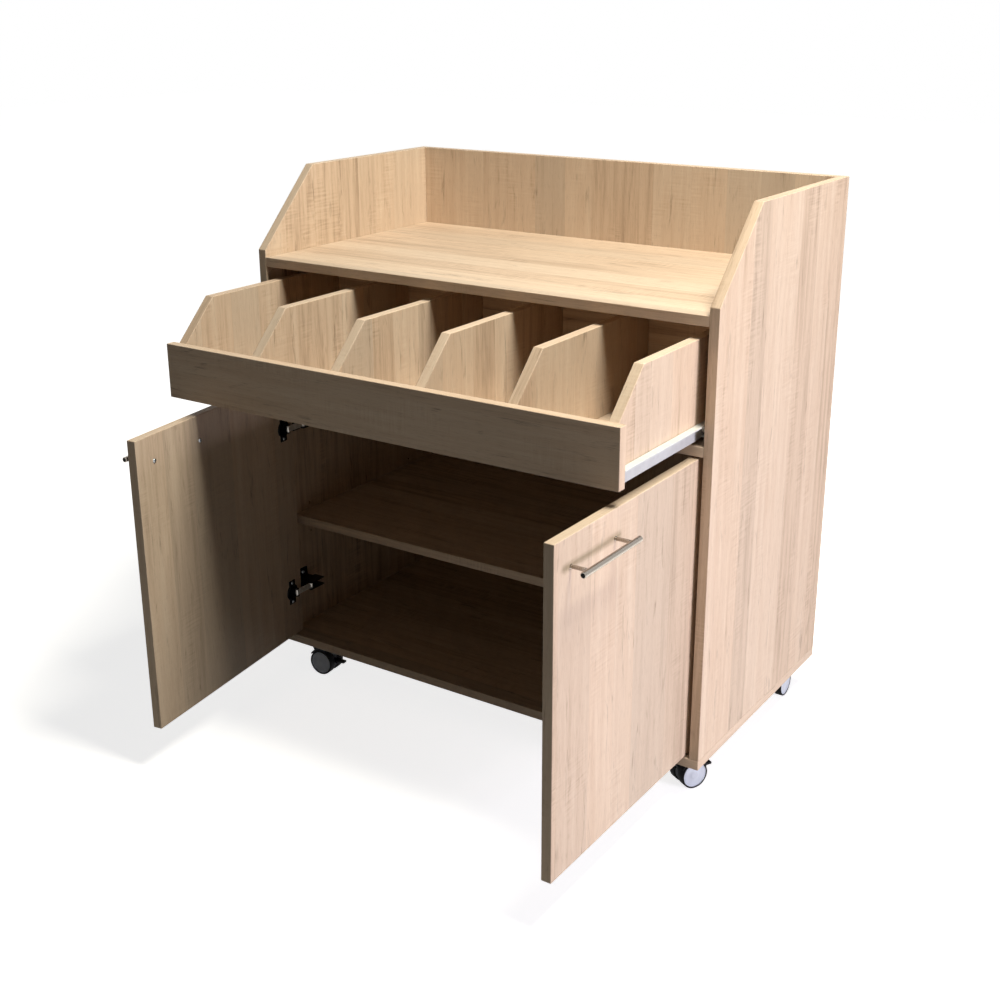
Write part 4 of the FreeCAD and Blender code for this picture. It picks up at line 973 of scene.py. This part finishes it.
class STATION_OT_castors(bpy.types.Operator):
    """Mould the castors: hoods, wheel centres, tyres and brake levers"""
    bl_idname = "station.castors"
    bl_label = "Castors"

    def execute(self, context):
        sizes = context.scene.station_sizes
        for corner in CORNERS:
            middle, axis, outer, inner, radius, bore = wheel_sizes(corner)
            half = half_hub(outer, inner, bore, sizes.wheel_groove)
            shape = bmesh.new()
            lathe(shape, [(r, -d) for r, d in half[:0:-1]] + half[1:], middle, axis, WHEEL_STEPS)
            node = corner + "_castor_wheels"
            add_piece(node + "_moulded", finished_lathe(shape, node), node, "grey_plastic",
                      ("grey moulded plastic",))
            shape = bmesh.new()
            for facing in (axis, -axis):
                lathe(shape, tyre_profile(outer, inner, radius, bore), middle, facing, WHEEL_STEPS)
            bmesh.ops.remove_doubles(shape, verts=shape.verts, dist=MERGE)
            node = corner + "_castor_tyres"
            add_piece(node + "_moulded", finished_lathe(shape, node), node, "tread",
                      ("black tread",))
            node = corner + "_castor_hood"
            mesh = to_mesh(eased(node, sizes.moulded_edge), node)
            add_piece(node + "_moulded", mesh, node, "black_nylon", ("black moulded nylon",))
            node = corner + "_brake_lever"
            if node in NODE_BODY:
                mesh = to_mesh(eased(node, sizes.moulded_edge), node)
                add_piece(node + "_moulded", mesh, node, "black_nylon", ("black moulded nylon",))
        return {"FINISHED"}


# ---------------------------------------------------------------- stage
CAMERA_PLACE = Vector((1.38575, -2.0185, 1.37893))
CAMERA_TURN = (math.radians(71.08), math.radians(0.09), math.radians(33.34))
CAMERA_LENS = 49.58
CAMERA_SHIFT = (-0.00705, -0.0347)
LAMPS = {  # place, point it faces, side, watts, colour
    "key": ((1.1, -0.1, 2.9), (0.1, 0.05, 0.6), 0.9, 95, "#FFFBED"),
    "side": ((2.6, -0.2, 0.5), (0.1, 0.0, 0.4), 0.7, 42, "#F3EDFF"),
}
FLOOR_HALF = 14.0
GLOW = (0.8, 1.0)  # the floor's own white, near the station and far from it
GLOW_REACH = (0.9, 2.2)
FLOOR_WHITE = (0.9, 0.9, 0.9)
FLOOR_BOUNCE = (0.35, 0.35, 0.35)  # what the floor throws back onto the station
SURROUNDINGS = ((0.85, 1.0, 0.8), 0.004)  # tint and strength of the room's fill light


def white_to_camera(tree, shading, bounce):
    """A shader that is white where it is seen or mirrored, and otherwise `bounce`."""
    path = add_node(tree, "ShaderNodeLightPath").outputs
    seen = maths(tree, "MAXIMUM", path["Is Camera Ray"],
                 maths(tree, "MAXIMUM", path["Is Glossy Ray"], path["Is Transmission Ray"]))
    return add_node(tree, "ShaderNodeMixShader", {0: seen, 1: bounce, 2: shading}).outputs[0]


def add_camera(scene):
    camera = bpy.data.objects.new("camera", bpy.data.cameras.new("camera"))
    camera.location = CAMERA_PLACE
    camera.rotation_euler = CAMERA_TURN
    camera.data.lens = CAMERA_LENS
    camera.data.shift_x, camera.data.shift_y = CAMERA_SHIFT
    scene.collection.objects.link(camera)
    scene.camera = camera


def add_lamps(scene):
    for name, (place, aim, side, watts, tint) in LAMPS.items():
        lamp = bpy.data.lights.new(name, "AREA")
        lamp.shape = "SQUARE"
        lamp.size = side
        lamp.energy = watts
        lamp.color = linear(tint)
        holder = bpy.data.objects.new(name, lamp)
        holder.location = place
        facing = Vector(aim) - Vector(place)
        holder.rotation_euler = facing.to_track_quat("-Z", "Y").to_euler()
        scene.collection.objects.link(holder)


def floor_finish():
    """White to the camera with the station's shadow on it, and duller to the station."""
    material, tree, shader = new_material("matt white studio floor")
    tree.nodes.remove(shader)
    lit = add_node(tree, "ShaderNodeBsdfDiffuse", {"Color": rgba(FLOOR_WHITE)}).outputs[0]
    place = add_node(tree, "ShaderNodeTexCoord").outputs["Object"]
    far = add_node(tree, "ShaderNodeVectorMath", {0: place}, operation="LENGTH")
    glow = ramp(tree, far.outputs["Value"], *GLOW_REACH, *GLOW)
    glow = add_node(tree, "ShaderNodeEmission", {"Strength": glow}).outputs[0]
    seen = add_node(tree, "ShaderNodeAddShader", {0: lit, 1: glow}).outputs[0]
    bounce = add_node(tree, "ShaderNodeBsdfDiffuse", {"Color": rgba(FLOOR_BOUNCE)}).outputs[0]
    tree.links.new(white_to_camera(tree, seen, bounce), tree.nodes["Material Output"].inputs[0])
    return material


def add_floor(scene):
    corners = [(x * FLOOR_HALF, y * FLOOR_HALF, 0)
               for x, y in ((-1, -1), (1, -1), (1, 1), (-1, 1))]
    mesh = bpy.data.meshes.new("floor")
    mesh.from_pydata(corners, [], [(0, 1, 2, 3)])
    mesh.materials.append(floor_finish())
    floor = bpy.data.objects.new("floor", mesh)
    scene.collection.objects.link(floor)


def add_surroundings(scene):
    world = bpy.data.worlds.new("white surroundings")
    world.use_nodes = True
    tree = world.node_tree
    tree.nodes.remove(tree.nodes["Background"])
    white = add_node(tree, "ShaderNodeBackground", {"Color": (1, 1, 1, 1)}).outputs[0]
    tint, strength = SURROUNDINGS
    dim = add_node(tree, "ShaderNodeBackground", {"Color": rgba(tint),
                                                  "Strength": strength}).outputs[0]
    tree.links.new(white_to_camera(tree, white, dim), tree.nodes["World Output"].inputs[0])
    scene.world = world


class STATION_OT_stage(bpy.types.Operator):
    """Set the camera, the lamps, the pale floor and the white surroundings"""
    bl_idname = "station.stage"
    bl_label = "Stage"

    def execute(self, context):
        for add in (add_camera, add_lamps, add_floor, add_surroundings):
            add(context.scene)
        context.scene.view_settings.view_transform = "Standard"
        return {"FINISHED"}


# ---------------------------------------------------------------- panel
OPERATORS = (
    STATION_OT_stage,
    STATION_OT_boards,
    STATION_OT_handles,
    STATION_OT_pressings,
    STATION_OT_fittings,
    STATION_OT_rollers,
    STATION_OT_screws,
    STATION_OT_castors,
)


class STATION_PT_panel(bpy.types.Panel):
    """Lists the sizes, the colours and the pieces of the station"""
    bl_idname = "STATION_PT_panel"
    bl_label = "Service station"
    bl_space_type = "VIEW_3D"
    bl_region_type = "UI"
    bl_category = "Station"

    def draw(self, context):
        for group in (context.scene.station_sizes, context.scene.station_colours):
            for name in group.bl_rna.properties.keys():
                if name not in ("rna_type", "name"):
                    self.layout.prop(group, name)
        for operator in OPERATORS:
            self.layout.operator(operator.bl_idname)


CLASSES = (StationSizes, StationColours, *OPERATORS, STATION_PT_panel)


def register():
    for made in CLASSES:
        bpy.utils.register_class(made)
    bpy.types.Scene.station_sizes = bpy.props.PointerProperty(type=StationSizes)
    bpy.types.Scene.station_colours = bpy.props.PointerProperty(type=StationColours)


def unregister():
    del bpy.types.Scene.station_colours
    del bpy.types.Scene.station_sizes
    for made in reversed(CLASSES):
        bpy.utils.unregister_class(made)


def main():
    """Make every piece."""
    register()
    for operator in OPERATORS:
        family, name = operator.bl_idname.split(".")
        getattr(getattr(bpy.ops, family), name)()


if __name__ == "__main__":
    main()
